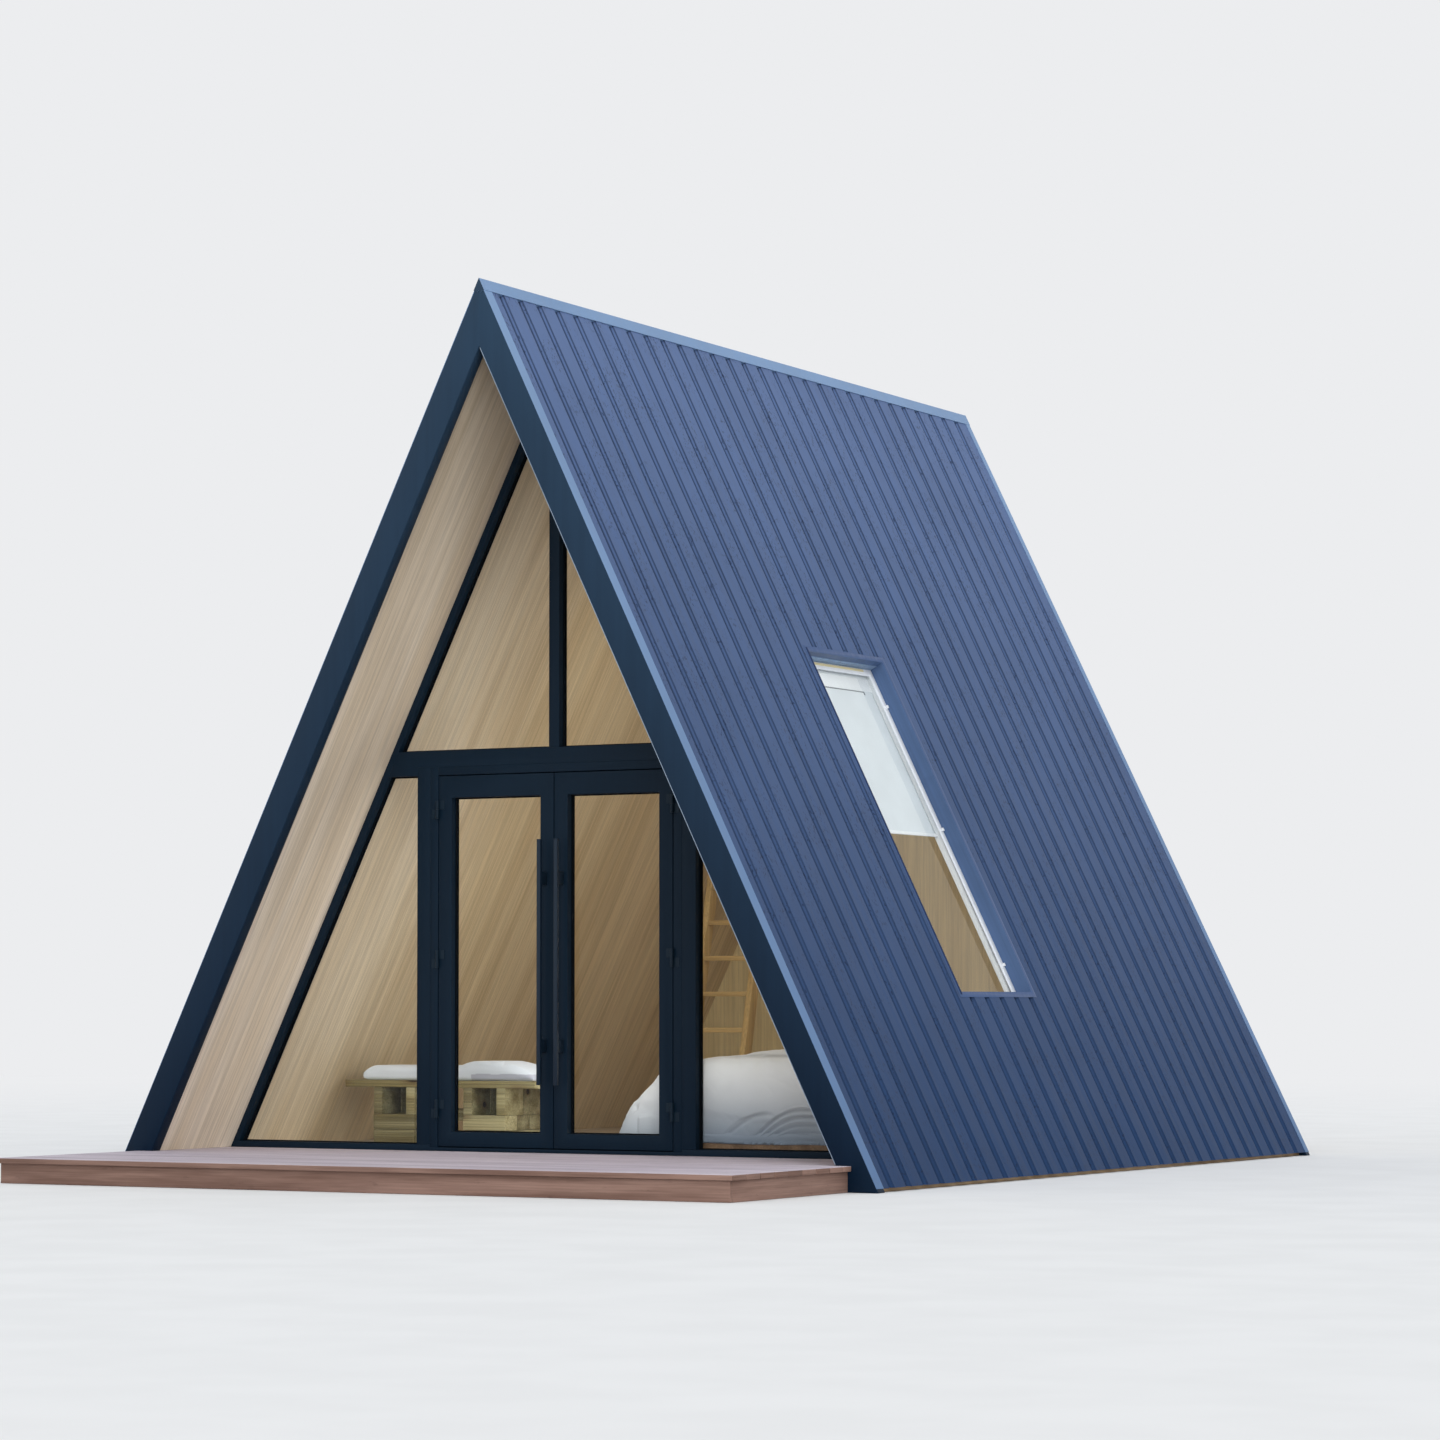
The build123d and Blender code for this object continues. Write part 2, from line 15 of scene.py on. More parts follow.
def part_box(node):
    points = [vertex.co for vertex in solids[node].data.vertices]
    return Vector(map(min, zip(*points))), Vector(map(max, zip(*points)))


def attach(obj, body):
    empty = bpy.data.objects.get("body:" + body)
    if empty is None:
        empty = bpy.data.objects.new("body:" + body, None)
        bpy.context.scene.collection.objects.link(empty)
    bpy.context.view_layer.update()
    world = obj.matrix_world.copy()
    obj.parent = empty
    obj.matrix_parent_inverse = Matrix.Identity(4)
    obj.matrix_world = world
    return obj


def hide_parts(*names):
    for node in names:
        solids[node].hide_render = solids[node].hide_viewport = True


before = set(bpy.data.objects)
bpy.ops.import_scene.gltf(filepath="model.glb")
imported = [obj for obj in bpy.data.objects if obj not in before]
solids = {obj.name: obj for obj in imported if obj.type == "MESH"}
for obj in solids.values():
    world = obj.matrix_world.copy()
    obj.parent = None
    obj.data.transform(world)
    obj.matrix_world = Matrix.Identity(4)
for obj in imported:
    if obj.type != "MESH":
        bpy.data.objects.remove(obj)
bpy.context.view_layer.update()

# %% [markdown]
# Both roof slopes are the same plane, mirrored. A barge board, or fascia, runs up each slope from the
# ground to the ridge, so its box gives the slope and, with the metal strip on top, the ridge's height.
# A place on a slope is then said as a roofer says it: so far down from the ridge, so far along the
# building, and so deep under the roof's face.

# %% Read the slopes from the fascias
fascia_foot, fascia_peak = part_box("left_front_fascia")
slope = math.atan2(fascia_peak.z, -fascia_foot.x)
trim_gauge = 0.002
ridge_height = fascia_peak.z + trim_gauge / math.cos(slope)
sides = {"left": -1, "right": 1}
print("slope", round(math.degrees(slope), 2), "degrees, ridge", round(ridge_height, 4))


def down_slope(side):
    """The direction down a slope."""
    return Vector((side * math.cos(slope), 0, -math.sin(slope)))


def out_of_slope(side):
    """The direction straight out of a slope's face."""
    return Vector((side * math.sin(slope), 0, math.cos(slope)))


def lay_on_slope(shape, side):
    """Moves a shape from flat roofer's places, (along, down, height over the face), to its slope."""
    columns = (Vector((0, 1, 0)), down_slope(side), out_of_slope(side))
    place = Matrix.Translation((0, 0, ridge_height)) @ Matrix(columns).transposed().to_4x4()
    bmesh.ops.transform(shape, matrix=place, verts=shape.verts)
    if side > 0:
        bmesh.ops.reverse_faces(shape, faces=shape.faces)


# %% [markdown]
# Finishes are shader graphs. A graph reads easily when each of its nodes is one call, so one helper adds
# a node, sets it up and joins its inputs. The others are the steps that every finish takes: mixing two
# colours, a sum, and reading one direction of a place.

# %% Helpers for shader graphs
def join(tree, value, socket):
    """Links an output to a socket, or writes a plain value there."""
    if isinstance(value, bpy.types.NodeSocket):
        tree.links.new(value, socket)
    else:
        socket.default_value = value


def add(tree, kind, settings=None, **inputs):
    """A shader node with its settings and inputs."""
    made = tree.nodes.new("ShaderNode" + kind)
    for name, value in (settings or {}).items():
        setattr(made, name, value)
    for name, value in inputs.items():
        join(tree, value, made.inputs[name.replace("_", " ")])
    return made


def mixed(tree, share, first, second, way="MIX"):
    """Two colours mixed by a share."""
    made = add(tree, "Mix", {"data_type": "RGBA", "blend_type": way})
    for place, value in ((0, share), (6, first), (7, second)):
        join(tree, value, made.inputs[place])
    return made.outputs[2]


def worked(tree, way, first, second):
    """One step of arithmetic."""
    made = add(tree, "Math", {"operation": way})
    join(tree, first, made.inputs[0])
    join(tree, second, made.inputs[1])
    return made.outputs[0]


def grey(tree, value):
    """A value as a grey colour."""
    return add(tree, "CombineColor", Red=value, Green=value, Blue=value).outputs["Color"]


def times(tree, colour, share):
    """A colour multiplied by a share."""
    return mixed(tree, 1.0, colour, grey(tree, share), "MULTIPLY")


def either(tree, share, first, second):
    """Two shaders mixed by a share."""
    made = add(tree, "MixShader")
    for place, value in enumerate((share, first, second)):
        join(tree, value, made.inputs[place])
    return made.outputs[0]


def object_place(tree):
    """Object coordinates."""
    return add(tree, "TexCoord").outputs["Object"]


def axis_of(tree, vector, axis):
    """One axis of a vector."""
    return add(tree, "SeparateXYZ", Vector=vector).outputs[axis]


def reach_along(tree, vector, direction):
    """How far a vector reaches along a direction."""
    made = add(tree, "VectorMath", {"operation": "DOT_PRODUCT"}, Vector=vector)
    made.inputs[1].default_value = direction
    return made.outputs["Value"]


# %% [markdown]
# Real surfaces vary softly. Noise gives a value that wanders about 0.5, and a smooth step turns part of
# its range into any other range, such as a share, a roughness or a height. Colours are written as on a
# screen, from 0 to 255, and turned into the light values that shaders take.

# %% Helpers for soft changes, colours and bumps
def faded(tree, value, low, high, start=0.0, end=1.0):
    """Goes smoothly from start to end as value goes from low to high."""
    settings = {"interpolation_type": "SMOOTHSTEP"}
    made = add(tree, "MapRange", settings, Value=value, From_Min=low, From_Max=high, To_Min=start, To_Max=end)
    return made.outputs["Result"]


def clouds(tree, place, detail=2.0, roughness=0.5, scale=1.0):
    """Soft noise at a place, about 0.5 on average."""
    return add(tree, "TexNoise", Vector=place, Scale=scale, Detail=detail, Roughness=roughness).outputs["Fac"]


def shade(red, green, blue):
    """A screen colour as light."""
    screen = [value / 255 for value in (red, green, blue)]
    return (*[v / 12.92 if v <= 0.04045 else ((v + 0.055) / 1.055) ** 2.4 for v in screen], 1.0)


def new_finish(name, roughness, specular):
    """A new finish with one shader, and its tree and shader."""
    finish = bpy.data.materials.new(name)
    finish.use_nodes = True
    shader = finish.node_tree.nodes["Principled BSDF"]
    shader.inputs["Roughness"].default_value = roughness
    shader.inputs["Specular IOR Level"].default_value = specular
    return finish, finish.node_tree, shader


def raised(tree, height, depth, strength):
    """A bump of a real depth in metres."""
    return add(tree, "Bump", Height=height, Distance=depth, Strength=strength).outputs["Normal"]


# %% [markdown]
# Wood shows the same three things at every size: broad soft streaks a hand wide, fine lines of grain a
# few millimetres apart, and short dark pores. Each is noise that is stretched along the grain, so the
# place is first turned until X runs along the grain. Every board carries a number in an attribute called
# board, which moves the pattern on and shifts the tone, so that no two boards match.

# %% Timber
along_x = (0, 0, 0)
along_y = (0, 0, math.radians(-90))
along_z = (0, math.radians(90), 0)
up_left_slope = (0, slope, 0)
up_right_slope = (0, -slope, 0)


def grain_place(tree, turn):
    """Object coordinates with X along the grain, moved on for each board."""
    turned = add(tree, "Mapping", Vector=object_place(tree), Rotation=turn).outputs["Vector"]
    board = add(tree, "Attribute", {"attribute_name": "board"}).outputs["Fac"]
    step = add(tree, "VectorMath", {"operation": "SCALE"}, Vector=(3.7, 1.9, 5.3), Scale=board)
    moved = add(tree, "VectorMath", {"operation": "ADD"})
    join(tree, turned, moved.inputs[0])
    join(tree, step.outputs[0], moved.inputs[1])
    return moved.outputs[0], board


def squeezed(tree, place, along, across):
    """A place scaled differently along and across the grain."""
    made = add(tree, "VectorMath", {"operation": "MULTIPLY"})
    join(tree, place, made.inputs[0])
    made.inputs[1].default_value = (along, across, across)
    return made.outputs[0]


def board_tone(tree, board, spread):
    """A share near 1 that differs from board to board."""
    pick = add(tree, "TexWhiteNoise", {"noise_dimensions": "1D"}, W=board).outputs["Value"]
    return faded(tree, pick, 0.0, 1.0, 1.0 - spread, 1.0 + spread)


def knotted(tree, place, colour):
    """Round dark knots, longer along the grain, with a paler ring."""
    spots = add(tree, "TexVoronoi", Vector=squeezed(tree, place, 2.6, 8.0), Scale=1.0, Randomness=1.0)
    heart = faded(tree, spots.outputs["Distance"], 0.10, 0.17, 1.0, 0.0)
    ring = faded(tree, spots.outputs["Distance"], 0.13, 0.34, 0.55, 0.0)
    ringed = mixed(tree, ring, colour, shade(112, 84, 50))
    return mixed(tree, heart, ringed, shade(46, 34, 22))


def timber(name, pale, dark, turn, streaks, lines, contrast, tone=0.10, knots=False, inside=None):
    """A timber finish: streaks and lines to the metre, and with inside, a painted shade that warms and
    darkens boards behind the glass and towards the ridge.
    """
    roughness = 0.5
    finish, tree, shader = new_finish(name, roughness, 0.35)
    place, board = grain_place(tree, turn)
    broad = clouds(tree, squeezed(tree, place, 0.35, streaks), 3.0, 0.55)
    line = clouds(tree, squeezed(tree, place, 1.3, lines), 4.0, 0.65)
    pore = clouds(tree, squeezed(tree, place, 14.0, lines * 6), 2.0)
    colour = mixed(tree, faded(tree, broad, 0.32, 0.68), pale, dark)
    colour = times(tree, colour, faded(tree, line, 0.35, 0.65, 1.0 - contrast, 1.0 + contrast * 0.3))
    colour = times(tree, colour, faded(tree, pore, 0.60, 0.74, 1.0, 1.0 - contrast))
    colour = times(tree, colour, board_tone(tree, board, tone))
    if knots:
        colour = knotted(tree, place, colour)
    # Painted shade: boards deeper behind the glass turn warmer and darker, and all darken towards the ridge.
    if inside:
        behind = faded(tree, axis_of(tree, object_place(tree), "Y"), glazing_front, glazing_front + 1.6)
        colour = mixed(tree, 1.0, colour, mixed(tree, behind, (1, 1, 1, 1), inside), "MULTIPLY")
        height = axis_of(tree, object_place(tree), "Z")
        colour = times(tree, colour, faded(tree, height, 2.4, ridge_height, 1.0, 0.62))
    join(tree, colour, shader.inputs["Base Color"])
    join(tree, faded(tree, line, 0.3, 0.7, roughness + 0.12, roughness - 0.06), shader.inputs["Roughness"])
    join(tree, raised(tree, line, 0.0006, 0.5), shader.inputs["Normal"])
    return finish


# %% [markdown]
# The cabin has two families of timber. The lining and floor are pale oak with quiet grain. The lining takes a
# painted shade that grows warmer and darker the further it lies behind the glass and the nearer it is to the
# ridge, and the right slope's lining is mixed from darker, shaded copies of the oak's colours, a painted
# shade for its side away from the light. The bench, bed, ladder and framing are plainer wood with stronger
# lines, and only the bench has knots.

# %% Mix the timbers
glazing_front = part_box("glazing_sill")[0].y
oak_pale, oak_dark = shade(238, 225, 205), shade(220, 203, 178)
# The right slope's lining uses darker, shaded copies of the oak's colours: painted shade.
shaded_pale, shaded_dark = shade(214, 196, 170), shade(194, 172, 142)
# The golden and straw tints are painted shade for boards behind the glass.
golden_shade, straw_shade = (0.88, 0.80, 0.62, 1), (1, 0.94, 0.64, 1)
oak_left = timber("oak up the left slope", oak_pale, oak_dark, up_left_slope, 6.0, 90.0, 0.18, inside=golden_shade)
oak_right = timber(
    "oak up the right slope in painted shade", shaded_pale, shaded_dark, up_right_slope, 6.0, 90.0, 0.18, inside=golden_shade
)
oak_wall = timber("oak on the rear wall", oak_pale, oak_dark, along_z, 6.0, 60.0, 0.12, inside=straw_shade)
rear_pale, rear_dark = shade(186, 158, 124), shade(150, 120, 88)
rear_oak = timber("oak boards outside", rear_pale, rear_dark, along_z, 7.0, 120.0, 0.3, 0.13)
floor_oak = timber("floor boards", shade(214, 203, 188), shade(190, 174, 152), along_y, 9.0, 130.0, 0.2, 0.07)
framing = timber("sawn framing", shade(176, 146, 108), shade(146, 116, 80), along_y, 9.0, 140.0, 0.3)
bed_wood = timber("bed boards", shade(150, 120, 92), shade(116, 90, 66), along_y, 9.0, 150.0, 0.3)
bench_pale, bench_dark = shade(190, 182, 142), shade(138, 126, 84)
bench_wood = timber("bench planks", bench_pale, bench_dark, along_x, 11.0, 150.0, 0.4, 0.3, knots=True)
ash_pale, ash_dark = shade(226, 194, 132), shade(200, 166, 106)
ladder_wood = timber("ladder ash", ash_pale, ash_dark, along_z, 12.0, 170.0, 0.2)
tread_wood = timber("ladder treads", ash_pale, ash_dark, along_x, 12.0, 170.0, 0.2)
lath_wood = timber("pale window lath", shade(226, 214, 170), shade(208, 192, 146), along_y, 12.0, 170.0, 0.15)
print("timbers:", oak_left.name, "to", lath_wood.name)

# %% [markdown]
# The deck's upper faces are painted a pale, lilac grey, a painted reflection of the sky on the boards' tops,
# while the edges and the skirt below keep the wood's red-brown. The true normal of a face says which it is,
# and a board's top has a soft border where the painted reflection turns round its edge.

# %% Deck timber with a painted sky reflection
def sky_lit_timber(name, lit_top_pale, lit_top_dark, edge_pale, edge_dark):
    """Deck timber with a painted sky reflection that pales its upper faces, with its grain along Y on faces
    that look sideways.
    """
    finish, tree, shader = new_finish(name, 0.7, 0.25)
    normals = add(tree, "NewGeometry").outputs
    facing = axis_of(tree, normals["True Normal"], "X")
    sideways = faded(tree, worked(tree, "ABSOLUTE", facing, 0.0), 0.6, 0.8)
    place, board = grain_place(tree, along_x)
    place = mixed(tree, sideways, place, grain_place(tree, along_y)[0])
    broad = clouds(tree, squeezed(tree, place, 0.8, 9.0), 4.0, 0.6)
    line = clouds(tree, squeezed(tree, place, 2.0, 140.0), 4.0, 0.7)
    blot = clouds(tree, squeezed(tree, place, 9.0, 26.0), 3.0, 0.7)
    sky_lit_share = faded(tree, axis_of(tree, normals["Normal"], "Z"), 0.35, 0.85)
    patch = faded(tree, broad, 0.35, 0.65)
    # The upper faces' pale, lilac colour is a painted reflection of the sky.
    edge, top = mixed(tree, patch, edge_pale, edge_dark), mixed(tree, patch, lit_top_pale, lit_top_dark)
    colour = mixed(tree, sky_lit_share, edge, top)
    colour = times(tree, colour, faded(tree, line, 0.3, 0.7, 0.80, 1.05))
    colour = times(tree, colour, faded(tree, blot, 0.60, 0.76, 1.0, 0.80))
    colour = times(tree, colour, board_tone(tree, board, 0.06))
    join(tree, colour, shader.inputs["Base Color"])
    join(tree, faded(tree, line, 0.3, 0.7, 0.8, 0.62), shader.inputs["Roughness"])
    join(tree, raised(tree, line, 0.001, 0.6), shader.inputs["Normal"])
    return finish


edge_pale, edge_dark = shade(146, 117, 105), shade(117, 90, 79)
# The pale top colours on this line are a painted sky reflection.
deck_timber = sky_lit_timber("deck boards", shade(208, 199, 209), shade(187, 177, 189), edge_pale, edge_dark)
skirt_timber = sky_lit_timber("skirt boards", edge_pale, edge_dark, edge_pale, edge_dark)
print("deck timbers:", deck_timber.name, "and", skirt_timber.name)

# %% [markdown]
# The roof, its trims and the window frames are coated metal. Paint on metal is nearly one colour. What makes
# it look real is small: a cloudy change in tone over a metre or so, a faint run of dirt down the slope, tiny
# dark specks, and a skin that isn't quite flat. A tall piece also has painted shade that grows darker towards
# its foot, and the roof's grooves have painted shade along their bends and floors.

# %% Coated metal
def painted_groove_shade(tree, side, height, tint):
    """Paints shade on the two bends and the floor of each groove of a slope's sheet, most near the ridge."""
    out = reach_along(tree, object_place(tree), out_of_slope(side))
    depth = worked(tree, "SUBTRACT", ridge_height * math.cos(slope), out)
    upper = worked(tree, "SUBTRACT", faded(tree, depth, 0.002, 0.004), faded(tree, depth, 0.008, 0.011))
    floor_edge = faded(tree, depth, 0.0245, 0.0255, 0, 0.6)
    lower = worked(tree, "SUBTRACT", faded(tree, depth, 0.016, 0.019), floor_edge)
    strength = faded(tree, height, -1.0, 4.0, 0.18, 0.55)
    bends = worked(tree, "MULTIPLY", worked(tree, "ADD", upper, lower), strength)
    return times(tree, tint, worked(tree, "SUBTRACT", 1.0, bends))


def coated(name, colour, roughness, turn, specks, streaks, specular, foot=None, side=0, ends=None):
    """A coated metal finish, with dirt that runs along X of the turned place, and a painted shade that
    darkens its foot.

    With a foot, a side's grooves also get painted shade. With ends, faces that look along Y, or straight out
    of that side's slope, take that colour.
    """
    finish, tree, shader = new_finish(name, roughness, specular)
    place, _ = grain_place(tree, turn)
    cloudy = clouds(tree, place, 3.0, 0.6, 1.1)
    run = clouds(tree, squeezed(tree, place, 0.5, 24.0), 4.0, 0.6)
    cloudy, dirt = faded(tree, cloudy, 0.3, 0.7, -0.05, 0.05), faded(tree, run, 0.3, 0.7, -streaks, streaks)
    tint = times(tree, colour, worked(tree, "ADD", worked(tree, "ADD", cloudy, dirt), 1.0))
    if foot:
        height = axis_of(tree, object_place(tree), "Z")
        # Painted shade: the tint darkens from the ridge's height down to the foot colour at the ground.
        height_share = add(tree, "MapRange", Value=height, From_Min=0.0, From_Max=4.5).outputs["Result"]
        tint = mixed(tree, 1.0, tint, mixed(tree, height_share, foot, (1, 1, 1, 1)), "MULTIPLY")
        # Painted shade in the roof's grooves.
        if side:
            tint = painted_groove_shade(tree, side, height, tint)
    if ends:
        normal = add(tree, "NewGeometry").outputs["True Normal"]
        facing = reach_along(tree, normal, out_of_slope(side) if side else (0, 1, 0))
        tint = mixed(tree, faded(tree, worked(tree, "ABSOLUTE", facing, 0.0), 0.8, 0.95), tint, ends)
    if specks:
        speck = clouds(tree, squeezed(tree, place, 55.0, 110.0), 1.0)
        patchy = clouds(tree, place, 2.0, 0.5, 5.0)
        level = worked(tree, "MULTIPLY", faded(tree, speck, 0.61, 0.66), faded(tree, patchy, 0.40, 0.60))
        tint = mixed(tree, worked(tree, "MULTIPLY", level, specks), tint, shade(26, 34, 56))
    join(tree, tint, shader.inputs["Base Color"])
    join(tree, faded(tree, run, 0.25, 0.75, roughness - 0.06, roughness + 0.08), shader.inputs["Roughness"])
    skin = clouds(tree, place, 2.0, 0.5, 420.0)
    join(tree, raised(tree, skin, 0.0003, 0.35), shader.inputs["Normal"])
    return finish


# %% [markdown]
# One coating serves the whole cabin, mixed as a paint shop would: a mid blue for the roof, a paler blue
# for its trims, near black for the frames, and plain whites and greys for the roof window. Rubber is
# mixed the same way, only rougher.

# %% Mix the coatings
# The foot colour on this line darkens the roof and fascias towards the ground: painted shade.
roof_blue, painted_foot_shade = shade(83, 104, 144), (0.15, 0.28, 0.38, 1)
roof_left = coated(
    "roof coating left", roof_blue, 0.45, up_left_slope, 0.6, 0.07, 0.1, painted_foot_shade, sides["left"]
)
roof_right = coated(
    "roof coating right", roof_blue, 0.45, up_right_slope, 0.6, 0.07, 0.1, painted_foot_shade, sides["right"]
)
trim_blue, fascia_blue, flange_shade_blue = shade(112, 141, 178), shade(38, 58, 78), shade(62, 84, 124)
# The trims' foot colour is painted shade as well.
trim_paint = coated("trim coating", trim_blue, 0.38, along_z, 0.0, 0.03, 0.2, (0.5, 0.6, 0.7, 1))
cap_paint = coated("ridge cap coating", trim_blue, 0.38, along_z, 0.0, 0.03, 0.2, ends=fascia_blue)
fascia_paint = coated("fascia coating", fascia_blue, 0.42, along_z, 0.0, 0.05, 0.1, painted_foot_shade)
frame_paint = coated("frame coating", shade(15, 31, 45), 0.42, along_z, 0.0, 0.04, 0.1)
# The faces that look out of the slope, the flange, are painted darker than the reveal: painted shade.
reveal_paint = coated(
    "reveal coating", shade(76, 98, 134), 0.42, up_right_slope, 0.0, 0.12, 0.15,
    side=sides["right"], ends=flange_shade_blue,
)
# The head cover is painted much paler than the reveal: painted light on the recess's head, which faces down
# the slope.
lit_cover_paint = coated("window head cover in painted light", shade(128, 152, 182), 0.45, up_right_slope, 0.5, 0.12, 0.15)
navy_seal = coated("navy seal", shade(34, 50, 84), 0.6, up_right_slope, 0.0, 0.05, 0.1)
hinge_paint = coated("hinge coating", shade(19, 34, 46), 0.38, along_z, 0.0, 0.03, 0.15)
handle_paint = coated("handle coating", shade(24, 38, 52), 0.32, along_z, 0.0, 0.03, 0.25)
white_frame = coated("white window frame", shade(222, 225, 229), 0.35, up_right_slope, 0.0, 0.02, 0.4)
rubber = coated("black gasket", shade(12, 16, 20), 0.75, along_z, 0.0, 0.03, 0.1)
pale_rubber = coated("pale gasket", shade(224, 228, 233), 0.7, along_z, 0.0, 0.03, 0.1)
# The blind's fittings are painted whiter than the frame: painted light that offsets the shade the frame casts
# on them.
brightened_blind_plastic = coated("blind plastic in painted light", shade(236, 240, 245), 0.4, up_right_slope, 0.0, 0.02, 0.3)
pull_metal = coated("blind pull", shade(104, 108, 114), 0.4, along_z, 0.0, 0.03, 0.3)
# A painted highlight: a pale strip for the light along the right barge board's lower front edge.
painted_edge_highlight = coated("painted edge highlight", shade(136, 152, 170), 0.4, along_z, 0.0, 0.05, 0.4)
print("coatings:", roof_left.name, trim_paint.name, frame_paint.name)

# %% [markdown]
# A pane lets nearly all light through and mirrors a little, more at a glancing angle. Real refraction is
# slow to render and moves nothing worth seeing in a flat pane, so the pane mixes a clear shader with a
# mirror. Only its outer skin mirrors: a ray that leaves the pane's back would otherwise meet a false
# mirror, because nothing bent it on the way in. A broad, very soft bump gives the slight waviness of
# real sheets.

# %% Glass
def clear_glass(name, tint, mirror):
    """Clear glass with a tint for each face that light crosses and a mirror strength as an IOR."""
    finish = bpy.data.materials.new(name)
    finish.use_nodes = True
    tree = finish.node_tree
    tree.nodes.clear()
    ripple = raised(tree, clouds(tree, object_place(tree), 1.0, 0.5, 1.6), 0.002, 0.25)
    front = worked(tree, "SUBTRACT", 1.0, add(tree, "NewGeometry").outputs["Backfacing"])
    share = worked(tree, "MULTIPLY", add(tree, "Fresnel", IOR=mirror).outputs["Fac"], front)
    clear = add(tree, "BsdfTransparent", Color=tint).outputs["BSDF"]
    shine = add(tree, "BsdfGlossy", Color=(1, 1, 1, 1), Roughness=0.0, Normal=ripple).outputs["BSDF"]
    join(tree, either(tree, share, clear, shine), add(tree, "OutputMaterial").inputs["Surface"])
    return finish


window_glass = clear_glass("window glass", (0.985, 0.99, 0.98, 1), 1.3)
print("glass:", window_glass.name)

# %% [markdown]
# Cotton, blind cloth and cushion canvas are all plain weave: two sets of threads that pass over and under
# each other. At arm's length only the weave's fine relief shows, so it goes into the bump, with painted shade
# for creases that hold shade. An attribute can also mix in a cool tone, which on the duvet is painted shade.
# A little sheen stands for the fibres that catch the light at the edge of a fold.

# %% Woven cloth
def woven(name, colour, thread, turn, roughness=0.85, sheen=0.25, cool_tone=None):
    """A plain woven cloth with threads that many metres apart, a cool tone that an attribute mixes in, and
    painted shade in creases.
    """
    finish, tree, shader = new_finish(name, roughness, 0.2)
    shader.inputs["Sheen Weight"].default_value = sheen
    shader.inputs["Sheen Roughness"].default_value = 0.5
    place, _ = grain_place(tree, turn)
    turned = math.pi * 2 / thread / 20
    waves = [
        add(tree, "TexWave", {"bands_direction": way}, Vector=place, Scale=turned, Distortion=0.4)
        for way in "XY"
    ]
    if cool_tone:
        colour = mixed(tree, add(tree, "Attribute", {"attribute_name": "cool_tone"}).outputs["Fac"], colour, cool_tone)
    creased = add(tree, "Attribute", {"attribute_name": "crease"}).outputs["Fac"]
    colour = times(tree, colour, faded(tree, creased, 0.0, 1.0, 1.0, 0.62))
    tone = faded(tree, clouds(tree, place, 3.0, 0.6, 4.0), 0.3, 0.7, 0.96, 1.02)
    join(tree, times(tree, colour, tone), shader.inputs["Base Color"])
    cross = worked(tree, "MULTIPLY", *(wave.outputs["Fac"] for wave in waves))
    join(tree, faded(tree, cross, 0.0, 1.0, roughness + 0.08, roughness - 0.08), shader.inputs["Roughness"])
    join(tree, raised(tree, cross, thread * 0.3, 0.4), shader.inputs["Normal"])
    return finish


# The cotton's cool tone is painted shade, blue-grey, for the duvet's lower part.
cotton = woven("white cotton", shade(250, 250, 250), 0.0016, along_x, cool_tone=shade(124, 138, 156))
# The canvas's cool tone greys the right cushion's lower front.
canvas = woven("cushion canvas", shade(230, 238, 249), 0.0022, along_x, cool_tone=shade(194, 198, 214))
blind_cloth = woven("blind cloth", shade(217, 224, 231), 0.0014, up_right_slope, 0.8, 0.1)
print("cloths:", cotton.name, canvas.name, blind_cloth.name)

# %% [markdown]
# A CAD solid whose shape is right stays and only gets its finish. Its mesh is loose triangles, and a
# finish is given to its slot without touching them.

# %% Finish the solids that stay
def finish_solid(node, finish):
    """Gives a CAD solid its finish."""
    for slot in solids[node].material_slots:
        slot.material = finish


kept = {
    "left_roof_sheet": roof_left, "right_roof_sheet": roof_right, "ridge_cap": cap_paint,
    "left_roof_panels": oak_left, "right_roof_panels": oak_right, "rear_wall": oak_wall,
    "floor_joists": framing, "deck_joists": framing, "sill_beams": framing,
    "gable_glass": window_glass, "side_glass": window_glass, "roof_window_glass": window_glass,
    "left_door_glass": window_glass, "right_door_glass": window_glass,
    "jamb_hinges": hinge_paint, "left_leaf_hinges": hinge_paint, "right_leaf_hinges": hinge_paint,
}
for node, finish in kept.items():
    finish_solid(node, finish)
print("solids kept with a finish:", len(kept))

# %% [markdown]
# Sawn, folded and extruded parts never have a knife edge: a folded sheet has a bend of a few millimetres
# and a planed board a broken corner. That small round is what catches a line of light along an edge. A
# solid's triangles are merged back into flat faces, its sharp edges are bevelled, and the softened copy
# stands for the solid.

# %% Soften the edges of rigid solids
def clean_copy(node):
    """A solid's mesh with its triangles merged into flat faces."""
    shape = bmesh.new()
    shape.from_mesh(solids[node].data)
    bmesh.ops.remove_doubles(shape, verts=shape.verts, dist=1e-5)
    flat = math.radians(1)
    bmesh.ops.dissolve_limit(shape, angle_limit=flat, verts=shape.verts, edges=shape.edges)
    return shape


def bevel(shape, edges, radius, segments=2):
    """Rounds some edges."""
    bmesh.ops.bevel(
        shape, geom=edges, offset=radius, offset_type="OFFSET", segments=segments, profile=0.5,
        affect="EDGES", clamp_overlap=True, material=-1,
    )


def round_edges(shape, radius):
    """Bevels every edge that turns by more than 30 degrees, but not where two halves meet at X = 0."""
    sharp = [e for e in shape.edges if e.is_manifold and e.calc_face_angle() > math.radians(30)]
    bevel(shape, [e for e in sharp if max(abs(v.co.x) for v in e.verts) > 0.001], radius)


